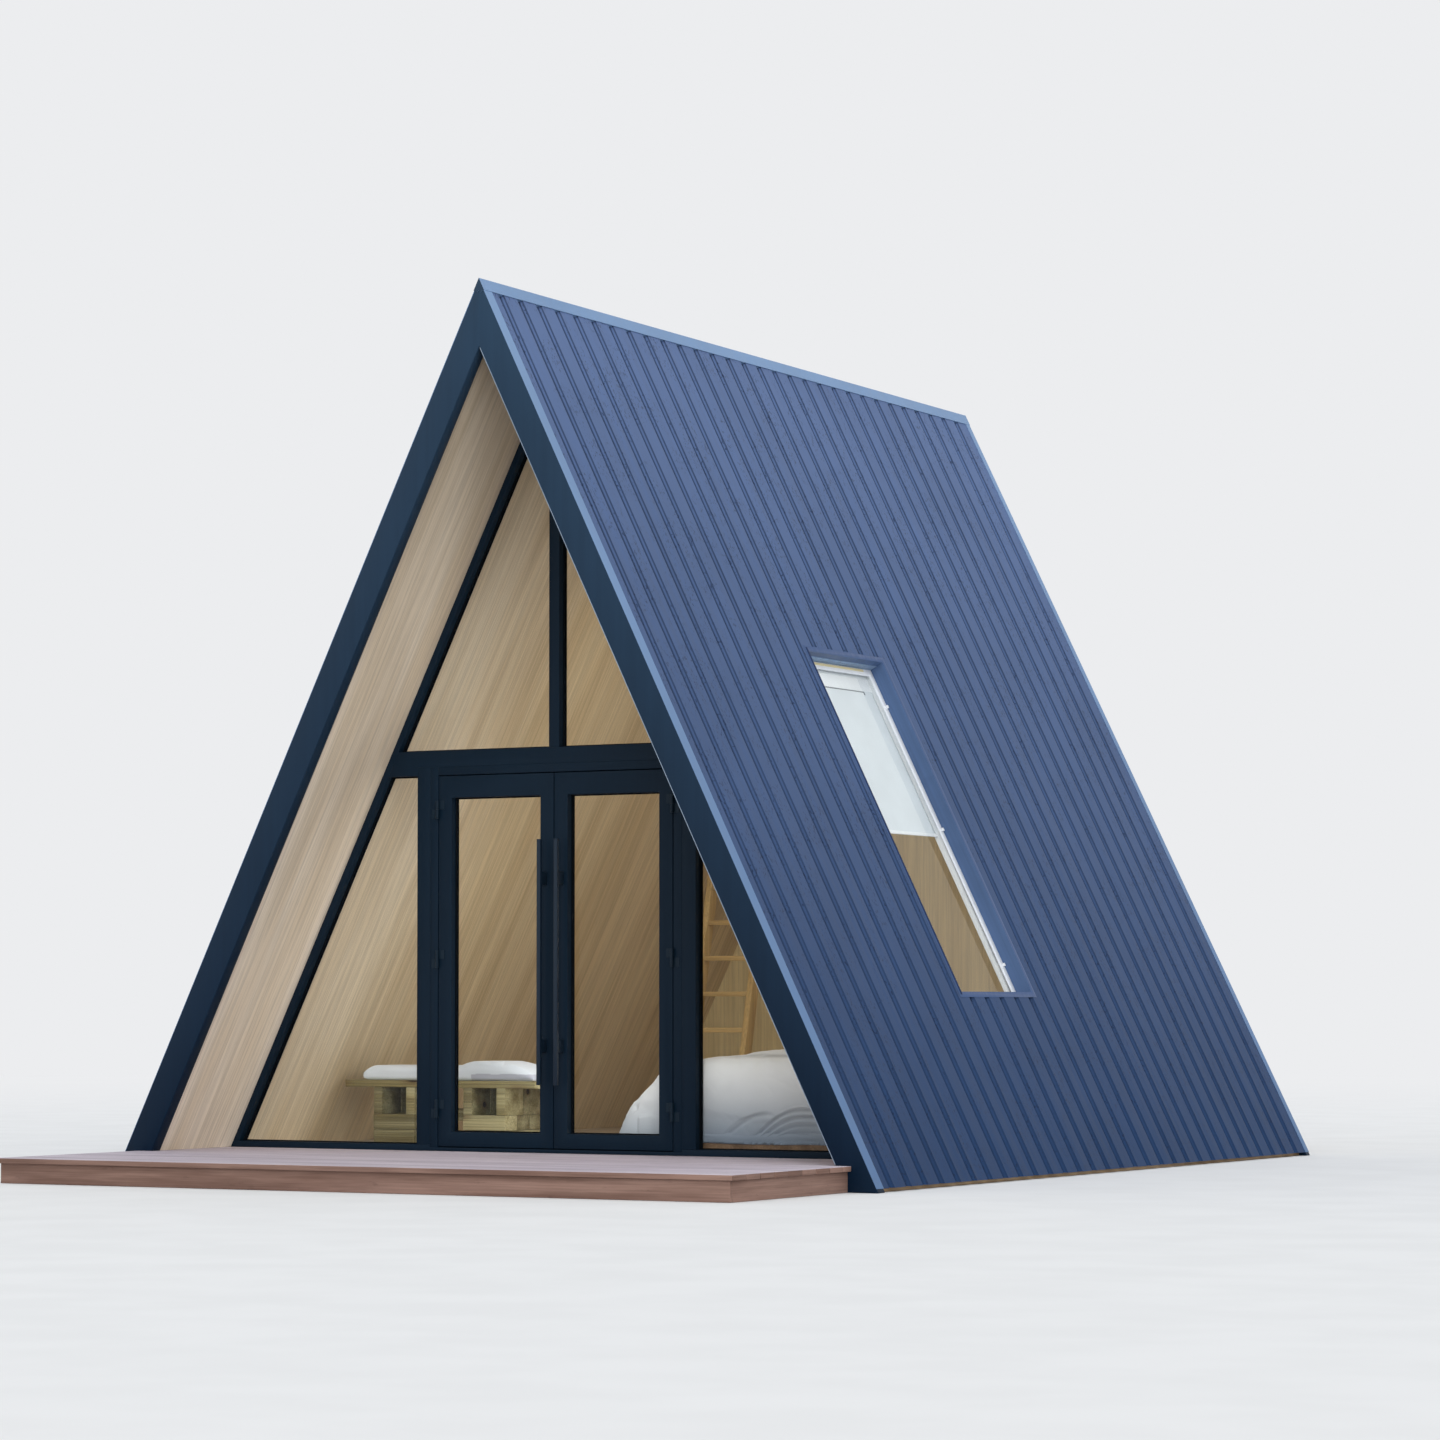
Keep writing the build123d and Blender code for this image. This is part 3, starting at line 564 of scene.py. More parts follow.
def box_between(shape, low, high, edge, segments=2):
    """A box with rounded edges between two corners."""
    made = bmesh.ops.create_cube(shape, size=1.0)["verts"]
    low, high = Vector(low), Vector(high)
    bmesh.ops.scale(shape, vec=high - low, verts=made)
    bmesh.ops.translate(shape, vec=(low + high) / 2, verts=made)
    bevel(shape, list({e for v in made for e in v.link_edges}), edge, segments)


def mesh_of(name, shape):
    """A mesh from a finished shape."""
    mesh = bpy.data.meshes.new(name)
    shape.to_mesh(mesh)
    shape.free()
    return mesh


def place_object(name, data):
    """An object in the scene."""
    made = bpy.data.objects.new(name, data)
    bpy.context.collection.objects.link(made)
    return made


def make_piece(name, shape, finish, body, smooth=True):
    """Turns a finished shape into a piece that rides on a body."""
    mesh = mesh_of(name, shape)
    piece = place_object(name, mesh)
    mesh.materials.append(finish)
    if smooth:
        mesh.shade_smooth()
        mesh.set_sharp_from_angle(angle=math.radians(32))
    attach(piece, body)
    print(f"{name}: {len(mesh.polygons)} faces")
    return piece


def slope_boxes(name, finish, slot, *boxes):
    """A piece of boxes on the right slope, each given by what box_between takes."""
    shape = bmesh.new()
    for box in boxes:
        box_between(shape, *box)
    lay_on_slope(shape, sides["right"])
    return make_piece(name, shape, finish, "cabin")


def soften(node, name, finish, radius, body="cabin"):
    """A copy of a solid with rounded edges, in its place."""
    shape = clean_copy(node)
    round_edges(shape, radius)
    piece = make_piece(name, shape, finish, body)
    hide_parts(node)
    return piece


# %% [markdown]
# How round an edge is tells what a part is made of. Thin folded strips get half a millimetre, frames and
# doors about two, and the ladder and the thick barge boards three or four. The door leaves ride on their
# own bodies, so that they swing with their hinges.

# %% Round the rigid parts
for side in sides:
    for end in ("front", "rear"):
        soften(f"{side}_{end}_fascia", f"{side}_{end}_barge_board", fascia_paint, 0.004)
    soften(f"{side}_raking_frame", f"{side}_raking_profile", frame_paint, 0.002)
    leaf = f"{side}_leaf"
    soften(f"{side}_door_leaf", f"{side}_leaf_profiles", frame_paint, 0.0025, leaf)
    soften(f"{side}_pull_handle", f"{side}_pull_bar", handle_paint, 0.0015, leaf)
for node, name in {
    "door_posts": "door_post_profiles", "door_jambs": "door_jamb_profiles", "door_head": "door_head_profile",
    "transom": "transom_profile", "gable_mullion": "mullion_profile", "glazing_sill": "sill_profile",
}.items():
    soften(node, name, frame_paint, 0.002)
soften("rake_trims", "rake_trim_strips", trim_paint, 0.0006)
soften("roof_window_frame", "roof_window_profiles", white_frame, 0.002)
soften("roof_window_reveal", "roof_window_lining", reveal_paint, 0.0015)
soften("ladder_stiles", "ladder_sides", ladder_wood, 0.003)
soften("ladder_treads", "ladder_steps", tread_wood, 0.003)
soften("deck_skirt", "skirt_boards", skirt_timber, 0.0025)

# %% [markdown]
# The right barge board's lower front edge shows a thin bright line, a painted highlight where light catches
# that edge. It is a narrow pale strip along that edge, from the peak down to the deck.

# %% Painted highlight on the right barge board
board_depth, edge_width, edge_foot = 0.157, 0.0035, 0.135
edge_height = -board_depth + 0.001
edge_start = board_depth * math.tan(slope) + 0.01
edge_end = (ridge_height - edge_foot - board_depth * math.cos(slope)) / math.sin(slope)
# This pale strip is a painted highlight.
slope_boxes("right_barge_board_highlight", painted_edge_highlight, "fascia", (
    (fascia_foot.y - 0.0012, edge_start, edge_height),
    (fascia_foot.y + 0.002, edge_end, edge_height + edge_width), 0.0005,
))

# %% [markdown]
# A deck, a floor and a clad wall are rows of boards with a gap between them. Each solid already has the
# right outline with its notches, so the boards are cut from it: two parallel planes take one board out
# of a copy, the cut faces are closed, and the edges are broken with a small bevel.

# %% Cut boards from a solid
def cut_board(source, across, low, high):
    """The part of a closed shape between two planes across a direction, closed again."""
    part = source.copy()
    for place, keep in ((low, 1), (high, -1)):
        everything = part.verts[:] + part.edges[:] + part.faces[:]
        bmesh.ops.bisect_plane(
            part, geom=everything, plane_co=across * place, plane_no=across * keep, clear_inner=True
        )
        bmesh.ops.holes_fill(part, edges=[e for e in part.edges if e.is_boundary], sides=0)
    return part


def gather(whole, part):
    """Adds one shape to another."""
    mesh = mesh_of("part", part)
    whole.from_mesh(mesh)
    bpy.data.meshes.remove(mesh)


def number_boards(shape, counted):
    """Writes each face's board number into the board attribute."""
    layer = shape.faces.layers.float.new("board")
    for face in shape.faces:
        face[layer] = counted(face.calc_center_median())


def board_up(node, name, across, width, gap, edge, finish):
    """Replaces a solid by boards of about that width."""
    source = clean_copy(node)
    places = [across.dot(v.co) for v in source.verts]
    start, end = min(places), max(places)
    count = round((end - start) / width)
    pitch = (end - start) / count
    whole = bmesh.new()
    for place in range(count):
        low = start + place * pitch + (gap / 2 if place else -gap)
        high = start + (place + 1) * pitch - (gap / 2 if place < count - 1 else -gap)
        part = cut_board(source, across, low, high)
        round_edges(part, edge)
        gather(whole, part)
    source.free()
    number_boards(whole, lambda centre: int((across.dot(centre) - start) / pitch))
    piece = make_piece(name, whole, finish, "cabin")
    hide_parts(node)
    print(f"{name}: {count} boards of {pitch * 1000:.0f} mm")
    return piece


board_up("deck", "deck_planks", Vector((0, 1, 0)), 0.14, 0.005, 0.003, deck_timber)
board_up("floor", "floor_planks", Vector((1, 0, 0)), 0.18, 0.001, 0.001, floor_oak)
board_up("rear_cladding", "rear_planks", Vector((1, 0, 0)), 0.14, 0.003, 0.004, rear_oak)

# %% [markdown]
# Glass never touches metal. A rubber gasket runs round every pane, on both faces of the front panes and on
# the outer face of the roof window. Each pane's face is taken from its solid, inset by the gasket's width,
# and the ring that is left is given its thickness, so a gasket fits its pane whatever shape the pane has.

# %% Gaskets round the panes
def gasket(name, node, facing, width, depth, body, finish=rubber):
    """A rubber ring on the face of each pane that looks in a direction."""
    shape = clean_copy(node)
    away = [f for f in shape.faces if f.normal.dot(facing) < 0.9]
    bmesh.ops.delete(shape, geom=away, context="FACES")
    panes = shape.faces[:]
    bmesh.ops.inset_individual(shape, faces=panes, thickness=width, depth=0, use_even_offset=True)
    bmesh.ops.delete(shape, geom=panes, context="FACES_ONLY")
    raised_ring = bmesh.ops.extrude_face_region(shape, geom=shape.faces[:])["geom"]
    moved = [part for part in raised_ring if isinstance(part, bmesh.types.BMVert)]
    bmesh.ops.translate(shape, vec=facing * depth, verts=moved)
    bmesh.ops.recalc_face_normals(shape, faces=shape.faces)
    return make_piece(name, shape, finish, body, smooth=False)


forward = Vector((0, -1, 0))
gasket_width, gasket_depth = 0.007, 0.004
glazed = (
    ("gable_gaskets", "gable_glass", "cabin"), ("side_light_gaskets", "side_glass", "cabin"),
    ("left_leaf_gasket", "left_door_glass", "left_leaf"),
    ("right_leaf_gasket", "right_door_glass", "right_leaf"),
)
for name, node, body in glazed:
    gasket(f"{name}_outside", node, forward, gasket_width, gasket_depth, body)
    gasket(f"{name}_inside", node, -forward, gasket_width, gasket_depth, body)
slope_out = out_of_slope(sides["right"])
gasket("roof_window_gasket", "roof_window_glass", slope_out, 0.009, 0.003, "cabin", pale_rubber)

# %% [markdown]
# The leaves clear the threshold by a few millimetres, and daylight must not shine under them. A rubber
# stop on the threshold stands just behind their lower edge, where it never meets a leaf that swings out.

# %% Threshold stop
leaf_low, leaf_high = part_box("left_door_leaf")
jamb_low, jamb_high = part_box("door_jambs")
stop = bmesh.new()
stop_half, stop_lap = -leaf_low.x - 0.004, 0.014
stop_low = (-stop_half, leaf_high.y + 0.002, jamb_low.z)
box_between(stop, stop_low, (stop_half, jamb_high.y - 0.002, leaf_low.z + stop_lap), 0.002)
make_piece("threshold_stop", stop, rubber, "cabin")

# %% [markdown]
# A profiled sheet is held by self-drilling screws with a washer, in rows across the roof where the
# battens lie below. They sit on the floor of each groove, and the grooves are read from the sheet
# itself: its lowest corners are the groove's floor, and their places along the building come in pairs.

# %% Roof screws
def groove_centres(node, side):
    """Places along the building of the grooves of a roof sheet."""
    out = out_of_slope(side)
    peak = Vector((0, 0, ridge_height))
    places = [v.co for v in solids[node].data.vertices]
    edges = sorted({round(p.y, 4) for p in places if abs((peak - p).dot(out) - groove_floor) < 0.0005})
    return [(low + high) / 2 for low, high in zip(edges, edges[1:]) if high - low < widest_groove]


def add_screw(shape, along, down, height):
    """A hexagon head on its washer, standing on a face at that height."""
    for radius, low, high, corners in ((0.0075, 0.0, 0.0015, 12), (0.0046, 0.0015, 0.0060, 6)):
        centre = Matrix.Translation((along, down, height + (low + high) / 2))
        bmesh.ops.create_cone(
            shape, cap_ends=True, segments=corners, radius1=radius, radius2=radius * 0.92,
            depth=high - low, matrix=centre,
        )


groove_floor, widest_groove = 0.026, 0.035
window_low, window_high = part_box("roof_window_reveal")
window_downs = [(ridge_height - z) / math.sin(slope) for z in (window_high.z, window_low.z)]
first_row, row_pitch = 0.13, 0.6
screw_rows = [first_row + row_pitch * row for row in range(9)]
for side, sign in sides.items():
    shape = bmesh.new()
    count = 0
    for along in groove_centres(f"{side}_roof_sheet", sign):
        at_window = sign > 0 and window_low.y - 0.03 < along < window_high.y + 0.03
        for down in screw_rows:
            if at_window and window_downs[0] - 0.1 < down < window_downs[1] + 0.1:
                continue
            add_screw(shape, along, down, -groove_floor)
            count += 1
    lay_on_slope(shape, sign)
    finish = roof_left if sign < 0 else roof_right
    make_piece(f"{side}_roof_screws", shape, finish, "cabin", False)
    print(side, "screws:", count)

# %% [markdown]
# The roof window has a roller blind inside: a head box across the top, the cloth, and a bar in its hem
# that keeps it straight. The cloth is one sheet, cut to the window and hung from the box, with a slight
# wave across it. Under the box a thin metal bar with a bent end is the blind's pull. Outside, the pane's
# frame carries a pale lath at its head with a cover sheet above it, and three small clips at its rear
# side. A navy seal lies along the near side of the recess.

# %% Roof window blind
blind_low, blind_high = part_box("roof_window_blind")
blind_start, blind_end = blind_low.y, blind_high.y
blind_top, blind_foot, blind_height = 2.088, 3.113, -0.1175
head_length, head_depth, bar_length, in_head = 0.100, 0.018, 0.022, 0.02
cloth_gauge = 0.0012
cloth = bmesh.new()
bmesh.ops.create_grid(cloth, x_segments=24, y_segments=40, size=0.5)
width, length = blind_end - blind_start - 0.004, blind_foot - blind_top - in_head
middle = (blind_start + blind_end) / 2
for v in cloth.verts:
    across, fall = v.co.x, v.co.y + 0.5
    wave = 0.0009 * math.sin(across * 21) * fall + 0.0006 * math.sin(across * 9 + fall * 5)
    v.co = (middle + across * width, blind_top + in_head + fall * length, blind_height + wave)
lay_on_slope(cloth, sides["right"])
blind = make_piece("blind_cloth", cloth, blind_cloth, "cabin")
thick = blind.modifiers.new("cloth", "SOLIDIFY")
thick.thickness, thick.offset = cloth_gauge, 0
top = blind_height + 0.002
head = (blind_start, blind_top, top - head_depth), (blind_end, blind_top + head_length, top), 0.004, 3
bar_low = (blind_start + 0.002, blind_foot - bar_length, blind_height - 0.004)
bar = bar_low, (blind_end - 0.002, blind_foot, blind_height + 0.003), 0.003, 3
# The whiter paint of these fittings is painted light.
hardware = slope_boxes("blind_fittings", brightened_blind_plastic, "white_blind", head, bar)
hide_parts("roof_window_blind")
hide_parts("roof_window_blind")

pull_down, pull_end = blind_top + head_length + 0.004, blind_start + 0.86 * (blind_end - blind_start)
pull_base, pull_top = top - 0.002, top + 0.002
slope_boxes(
    "blind_pull", pull_metal, "white_blind",
    ((blind_start + 0.008, pull_down, pull_base), (pull_end, pull_down + 0.005, pull_top), 0.001),
    ((pull_end - 0.006, pull_down, pull_base), (pull_end, pull_down + 0.022, pull_top), 0.001),
)
frame_face, near, far = -0.0885, window_low.y, window_high.y
slope_boxes(
    "roof_window_lath", lath_wood, "oak_lining",
    ((near + 0.034, 2.061, frame_face), (far - 0.14, 2.075, frame_face + 0.005), 0.0015),
)
# Its pale paint is painted light on the recess's head.
slope_boxes(
    "roof_window_head_cover", lit_cover_paint, "reveal_metal",
    ((near + 0.0345, 2.0526, -0.0884), (far - 0.0345, 2.0560, -0.044), 0.0005),
)
slope_boxes(
    "roof_window_seal", navy_seal, "reveal_metal",
    ((near + 0.014, 2.03, -0.0005), (near + 0.031, 4.16, 0.0020), 0.0004),
)
slope_boxes("roof_window_clips", white_frame, "roof_window_frame", *(
    ((far - 0.051, down - 0.010, frame_face), (far - 0.037, down + 0.008, -0.075), 0.0015)
    for down in (2.298, 3.084, 3.934)
))

# %% [markdown]
# The bench is built from plain reclaimed planks. Four planks make its top, and each trestle is two short
# posts on a stack of planks, with a board at its back. A shelf joins the two. Planks of the same size
# still differ, so each gets its own number, and a small fixed shift so that the joints aren't dead
# straight.

# %% Bench
bench_low, bench_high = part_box("bench")
floor_level = bench_low.z
top_gauge, trestle_inset, trestle_width, post_width, block_height = 0.040, 0.195, 0.28, 0.06, 0.17
shelf_low, shelf_gauge = 0.137, 0.060


def lay_planks(shape, low, high, count, gap, board, shift=0.003):
    """A row of planks side by side from the front to the back of a box, each with its own number."""
    layer = shape.faces.layers.float.get("board") or shape.faces.layers.float.new("board")
    pitch = (high[1] - low[1]) / count
    for place in range(count):
        start = set(shape.faces)
        slip = shift * noise.noise(Vector((board * 3.1, place * 5.7, 0.5)))
        front = low[1] + place * pitch + gap / 2
        back = low[1] + (place + 1) * pitch - gap / 2
        box_between(shape, (low[0] + abs(slip), front, low[2]), (high[0] - abs(slip), back, high[2]), 0.004)
        for face in set(shape.faces) - start:
            face[layer] = board * 10 + place


planks = bmesh.new()
front, back, under = bench_low.y, bench_high.y, bench_high.z - top_gauge
lay_planks(planks, (bench_low.x, front, under), (bench_high.x, back, bench_high.z), 4, 0.006, 1)
trestle_starts = (bench_low.x + trestle_inset, bench_high.x - trestle_inset - trestle_width)
for number, start in enumerate(trestle_starts):
    end = start + trestle_width
    middle = floor_level + block_height / 2
    lay_planks(planks, (start, front, floor_level), (end, back, middle - 0.001), 3, 0.004, 2 + number)
    block_top = floor_level + block_height
    lay_planks(planks, (start, front, middle + 0.001), (end, back, block_top), 3, 0.004, 4 + number)
    for place, post in enumerate((start, end - post_width)):
        low = (post, front, block_top)
        lay_planks(planks, low, (post + post_width, back, under), 2, 0.006, 6 + 2 * number + place)
    low = (start + post_width, back - 0.02, block_top)
    lay_planks(planks, low, (end - post_width, back, under - 0.002), 1, 0.0, 12 + number)
low = (trestle_starts[0] + trestle_width, front + post_width, floor_level + shelf_low)
high = (trestle_starts[1], back, floor_level + shelf_low + shelf_gauge)
lay_planks(planks, low, high, 3, 0.006, 11)
bench = make_piece("bench_planks", planks, bench_wood, "cabin")
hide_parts("bench")

# %% [markdown]
# A cushion is two pieces of canvas sewn round their edge and filled, so it is thickest in the middle and
# thin at its seam, and its sides pull in between the corners. The quickest true way to that form is to
# blow it up: the solid is remeshed finely, cloth is given pressure for twenty frames, and no point may
# move further than a cap, so the cushion stays in its place.

# %% Blow up soft goods
def evaluated_mesh(piece):
    """A piece's mesh with its modifiers worked in."""
    graph = bpy.context.evaluated_depsgraph_get()
    return bpy.data.meshes.new_from_object(piece.evaluated_get(graph))


def bake_modifiers(piece):
    """Writes a piece's modifiers into its mesh."""
    mesh = evaluated_mesh(piece)
    piece.modifiers.clear()
    old, piece.data = piece.data, mesh
    mesh.name = piece.name
    bpy.data.meshes.remove(old)


def remesh(piece, voxel):
    """Rebuilds a piece from small even squares."""
    change = piece.modifiers.new("remesh", "REMESH")
    change.mode, change.voxel_size, change.use_smooth_shade = "VOXEL", voxel, True
    bake_modifiers(piece)


def blow_up(piece, pressure, cap, spare=0.0, frames=20):
    """Fills a piece with air as cloth, and lets no point move further than cap."""
    start = [v.co.copy() for v in piece.data.vertices]
    cloth = piece.modifiers.new("cloth", "CLOTH")
    cloth.settings.quality = 5
    cloth.settings.mass = 0.3
    cloth.settings.shrink_min = -spare
    cloth.settings.tension_stiffness = cloth.settings.compression_stiffness = 15
    cloth.settings.bending_stiffness = 0.5
    cloth.settings.use_pressure = True
    cloth.settings.uniform_pressure_force = pressure
    cloth.settings.effector_weights.gravity = 0
    cloth.point_cache.frame_end = frames
    for frame_number in range(1, frames + 1):
        bpy.context.scene.frame_set(frame_number)
    bake_modifiers(piece)
    bpy.context.scene.frame_set(1)
    most = 0.0
    for vertex, place in zip(piece.data.vertices, start):
        move = vertex.co - place
        if move.length > cap:
            move *= cap / move.length
        vertex.co = place + move
        most = max(most, move.length)
    print(f"{piece.name}: {len(start)} points moved up to {most * 1000:.1f} mm")


def smooth_mesh(piece, rounds):
    """Relaxes a mesh."""
    shape = bmesh.new()
    shape.from_mesh(piece.data)
    for _ in range(rounds):
        bmesh.ops.smooth_vert(
            shape, verts=shape.verts, factor=0.5, use_axis_x=True, use_axis_y=True, use_axis_z=True
        )
    shape.to_mesh(piece.data)
    shape.free()


def clamped(value, low, high):
    """A value kept between two others."""
    return min(max(value, low), high)


def write_shares(piece, name, shares):
    """Writes a number for each point into an attribute, for the cloth's finish to read."""
    piece.data.attributes.new(name, "FLOAT", "POINT").data.foreach_set("value", shares)


# %% [markdown]
# The bench's two cushions come from one solid. Each starts as a box a little smaller than its place, with its
# seam low on its sides, and swells. The left one is flat on top. The right one is fuller, highest left of its
# middle, and is greyer in a band along its lower front.

# %% Cushions
# Each cushion's name, its height at its highest place, where along it that is from -1 to 1, and how much
# lower its left and right ends are.
cushions_low, cushions_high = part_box("bench_cushions")
cushion_gap, seam_share, grey_start, grey_width = 0.02, 0.30, -1.05, 0.038
cushion_length = (cushions_high.x - cushions_low.x - cushion_gap) / 2
cushion_kinds = (
    ("left_bench_cushion", 0.079, 0.0, 0.006, 0.006),
    ("right_bench_cushion", 0.106, -0.28, 0.085, 0.050),
)
for place, (name, crest, crest_place, left_drop, right_drop) in enumerate(cushion_kinds):
    start = cushions_low.x + place * (cushion_length + cushion_gap)
    low = Vector((start, cushions_low.y, cushions_low.z))
    high = Vector((start + cushion_length, cushions_high.y, cushions_low.z + crest + 0.004))
    centre, reach = (low + high) / 2, (high - low) / 2
    shape = bmesh.new()
    bmesh.ops.create_cube(shape, size=2.0)
    bmesh.ops.subdivide_edges(shape, edges=shape.edges, cuts=23, use_grid_fill=True)
    for v in shape.verts:
        across, deep, level = v.co
        from_crest = across - crest_place
        height = crest - (left_drop if from_crest < 0 else right_drop) * from_crest ** 2
        seam = low.z + seam_share * height
        edge = max(0.0, (1 - across ** 8) * (1 - deep ** 8)) ** 0.5
        pull = 0.99 - 0.03 * (1 - across ** 2 * deep ** 2)
        rise = (1 - seam_share) * height * (0.42 + 0.58 * edge)
        if level <= 0:
            rise = (seam - low.z) * (0.8 + 0.2 * edge)
        v.co = (centre.x + across * reach.x * pull, centre.y + deep * reach.y * pull, seam + level * rise)
    bmesh.ops.recalc_face_normals(shape, faces=shape.faces)
    cushion = make_piece(name, shape, canvas, "cabin")
    remesh(cushion, 0.009)
    blow_up(cushion, 4, 0.012)
    for vertex in cushion.data.vertices:
        vertex.co = [clamped(*limits) for limits in zip(vertex.co, low, high)]
    finer = cushion.modifiers.new("finer", "SUBSURF")
    finer.levels = finer.render_levels = 1
    bake_modifiers(cushion)
    band_top = low.z + grey_width if place == 1 else low.z
    places = [vertex.co for vertex in cushion.data.vertices]
    grey_band = [p.x > grey_start and p.y < centre.y and p.z < band_top for p in places]
    write_shares(cushion, "cool_tone", [float(inside) for inside in grey_band])
    cushion.data.shade_smooth()
    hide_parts("bench_cushions")
    print(name, "faces:", len(cushion.data.polygons))

# %% [markdown]
# The duvet lies over the bed and hangs a little down its sides. Its cloth is cut slightly larger than its
# filling, which is what makes soft folds, so the cloth is given some spare length before it is blown up.
# Its front then gets more points than the rest, because the folds that show are there.

# %% Bed and duvet
soften("bed_base", "bed_frame", bed_wood, 0.006)
duvet_low, duvet_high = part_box("duvet")
bed_low, bed_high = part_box("bed_base")
shape = clean_copy("duvet")
duvet = make_piece("duvet_cover", shape, cotton, "cabin")
remesh(duvet, 0.017)
blow_up(duvet, 3, 0.014, 0.03)
shape = bmesh.new()
shape.from_mesh(duvet.data)
front_edges = list({edge for face in shape.faces if face.normal.y < -0.5 for edge in face.edges})
bmesh.ops.subdivide_edges(shape, edges=front_edges, cuts=2, use_grid_fill=True)
shape.to_mesh(duvet.data)
shape.free()

# %% [markdown]
# A cover stands fuller where its filling has gathered: at its near shoulder, and over the pillow on its
# far side. Long shallow folds run with the surface, and a few short ones slant across the front. Each is
# a small function of a place, which is easier to tune than points pushed by hand.

# %% Swell, folds and shades of the cover
def eased(value, low, high):
    """Goes smoothly from 0 to 1 as value goes from low to high."""
    share = clamped((value - low) / (high - low), 0.0, 1.0)
    return share * share * (3 - 2 * share)


def puffed(place):
    """How far the filling lifts and widens the cover at a place: most at the near side and its corner."""
    above_hem = eased(place.z, duvet_low.z, duvet_low.z + 0.14)
    shoulder = 0.055 * (1 - eased(place.x, 0.62, 1.25)) + 0.024 * (1 - eased(place.x, 0.60, 0.80))
    spread = 0.064 * (1 - eased(place.x, 0.42, 0.60)) * (1 - 0.75 * eased(place.z, 0.30, 0.50))
    from_front = place.y - duvet_low.y
    pillow = 0.028 * eased(place.x, 1.00, 1.15) * (1 - eased(place.x, 1.64, 1.78))
    pillow *= eased(from_front, 0.06, 0.10)
    sag = 0.022 * (1 - eased(place.z, 0.21, 0.32))
    return Vector((-spread, 0, shoulder * above_hem + pillow * eased(place.z, 0.56, 0.63) - sag))


def crest_shade(place):
    """The soft shadow along the foot of the pillow's bulge, where the cover dips before it."""
    line = 0.656 - 0.5 * max(0.0, 1.10 - place.x) ** 2
    near_front = 1 - eased(place.y - duvet_low.y, 0.07, 0.13)
    return 0.8 * math.exp(-((place.z - line) / 0.011) ** 2) * eased(place.x, 0.96, 1.08) * near_front


def cool_shade_share(place):
    """How much painted shade, cool and blue-grey, the cover takes at a place: most low down and away from the
    doors.
    """
    return 1 - eased(place.z + 0.09 * (1 - eased(place.x, 0.45, 0.90)), 0.16, 0.65)


def crease(place):
    """How deep the cover's slanting folds are at a place of its front, from 0 to 1."""
    level = place.z + 1.9 * min(0.0, place.x - 1.46) ** 2
    reach = eased(place.x, 1.03, 1.21) * (1 - eased(place.x, 1.56, 1.72))
    reach *= eased(level, 0.22, 0.28) * (1 - eased(level, 0.39, 0.41))
    short_folds = reach * (0.5 + 0.5 * math.cos((level - 0.375) / 0.038 * 2 * math.pi))
    arch = 0.352 - 1.9 * (1.25 - place.x) ** 2
    long_fold = math.exp(-((place.z - arch) / 0.013) ** 2)
    return max(short_folds, long_fold * eased(place.x, 0.88, 0.98) * (1 - eased(place.x, 1.21, 1.33)))


def fold(place):
    """How far the cover stands in or out of its own face at a place."""
    slant = Vector((place.x * 2.2 + place.z * 2.6, place.y * 0.9 - place.z * 1.4, place.z * 1.2 + place.x))
    long_folds = noise.noise(slant * 2.1)
    creases = 1 - abs(noise.noise(slant * 4.3 + Vector((7, 3, 1)))) * 2
    return 0.012 * long_folds - 0.006 * max(0.0, creases) ** 2 + 0.004 * noise.noise(place * 6.0)


# %% [markdown]
# The cover is a closed bag with an outer skin that shows and an inner one that rests on the bed. The
# functions above move the outer skin, which is kept a few millimetres off the bed base, and the inner one
# stays where it is. Each place also gets a number for the shade that a crease holds, and one for the cool,
# blue-grey painted shade low on the cover.

# %% Shape the cover
def beside_bed(place, spare):
    """True where a place is inside the bed base, or less than spare from it."""
    across = bed_low.x - spare < place.x < bed_high.x + spare
    return across and bed_low.y - spare < place.y < bed_high.y + spare and place.z < bed_high.z + spare


def faces_away(place, normal):
    """True where the cover looks away from the bed base, as its outer skin does."""
    if normal.y < -0.5 or normal.x < -0.5 or normal.z > 0.3:
        return True
    across = clamped(place.x, bed_low.x, bed_high.x)
    nearest = Vector((across, clamped(place.y, bed_low.y, bed_high.y), min(place.z, bed_high.z)))
    return normal.dot(place - nearest) > 0


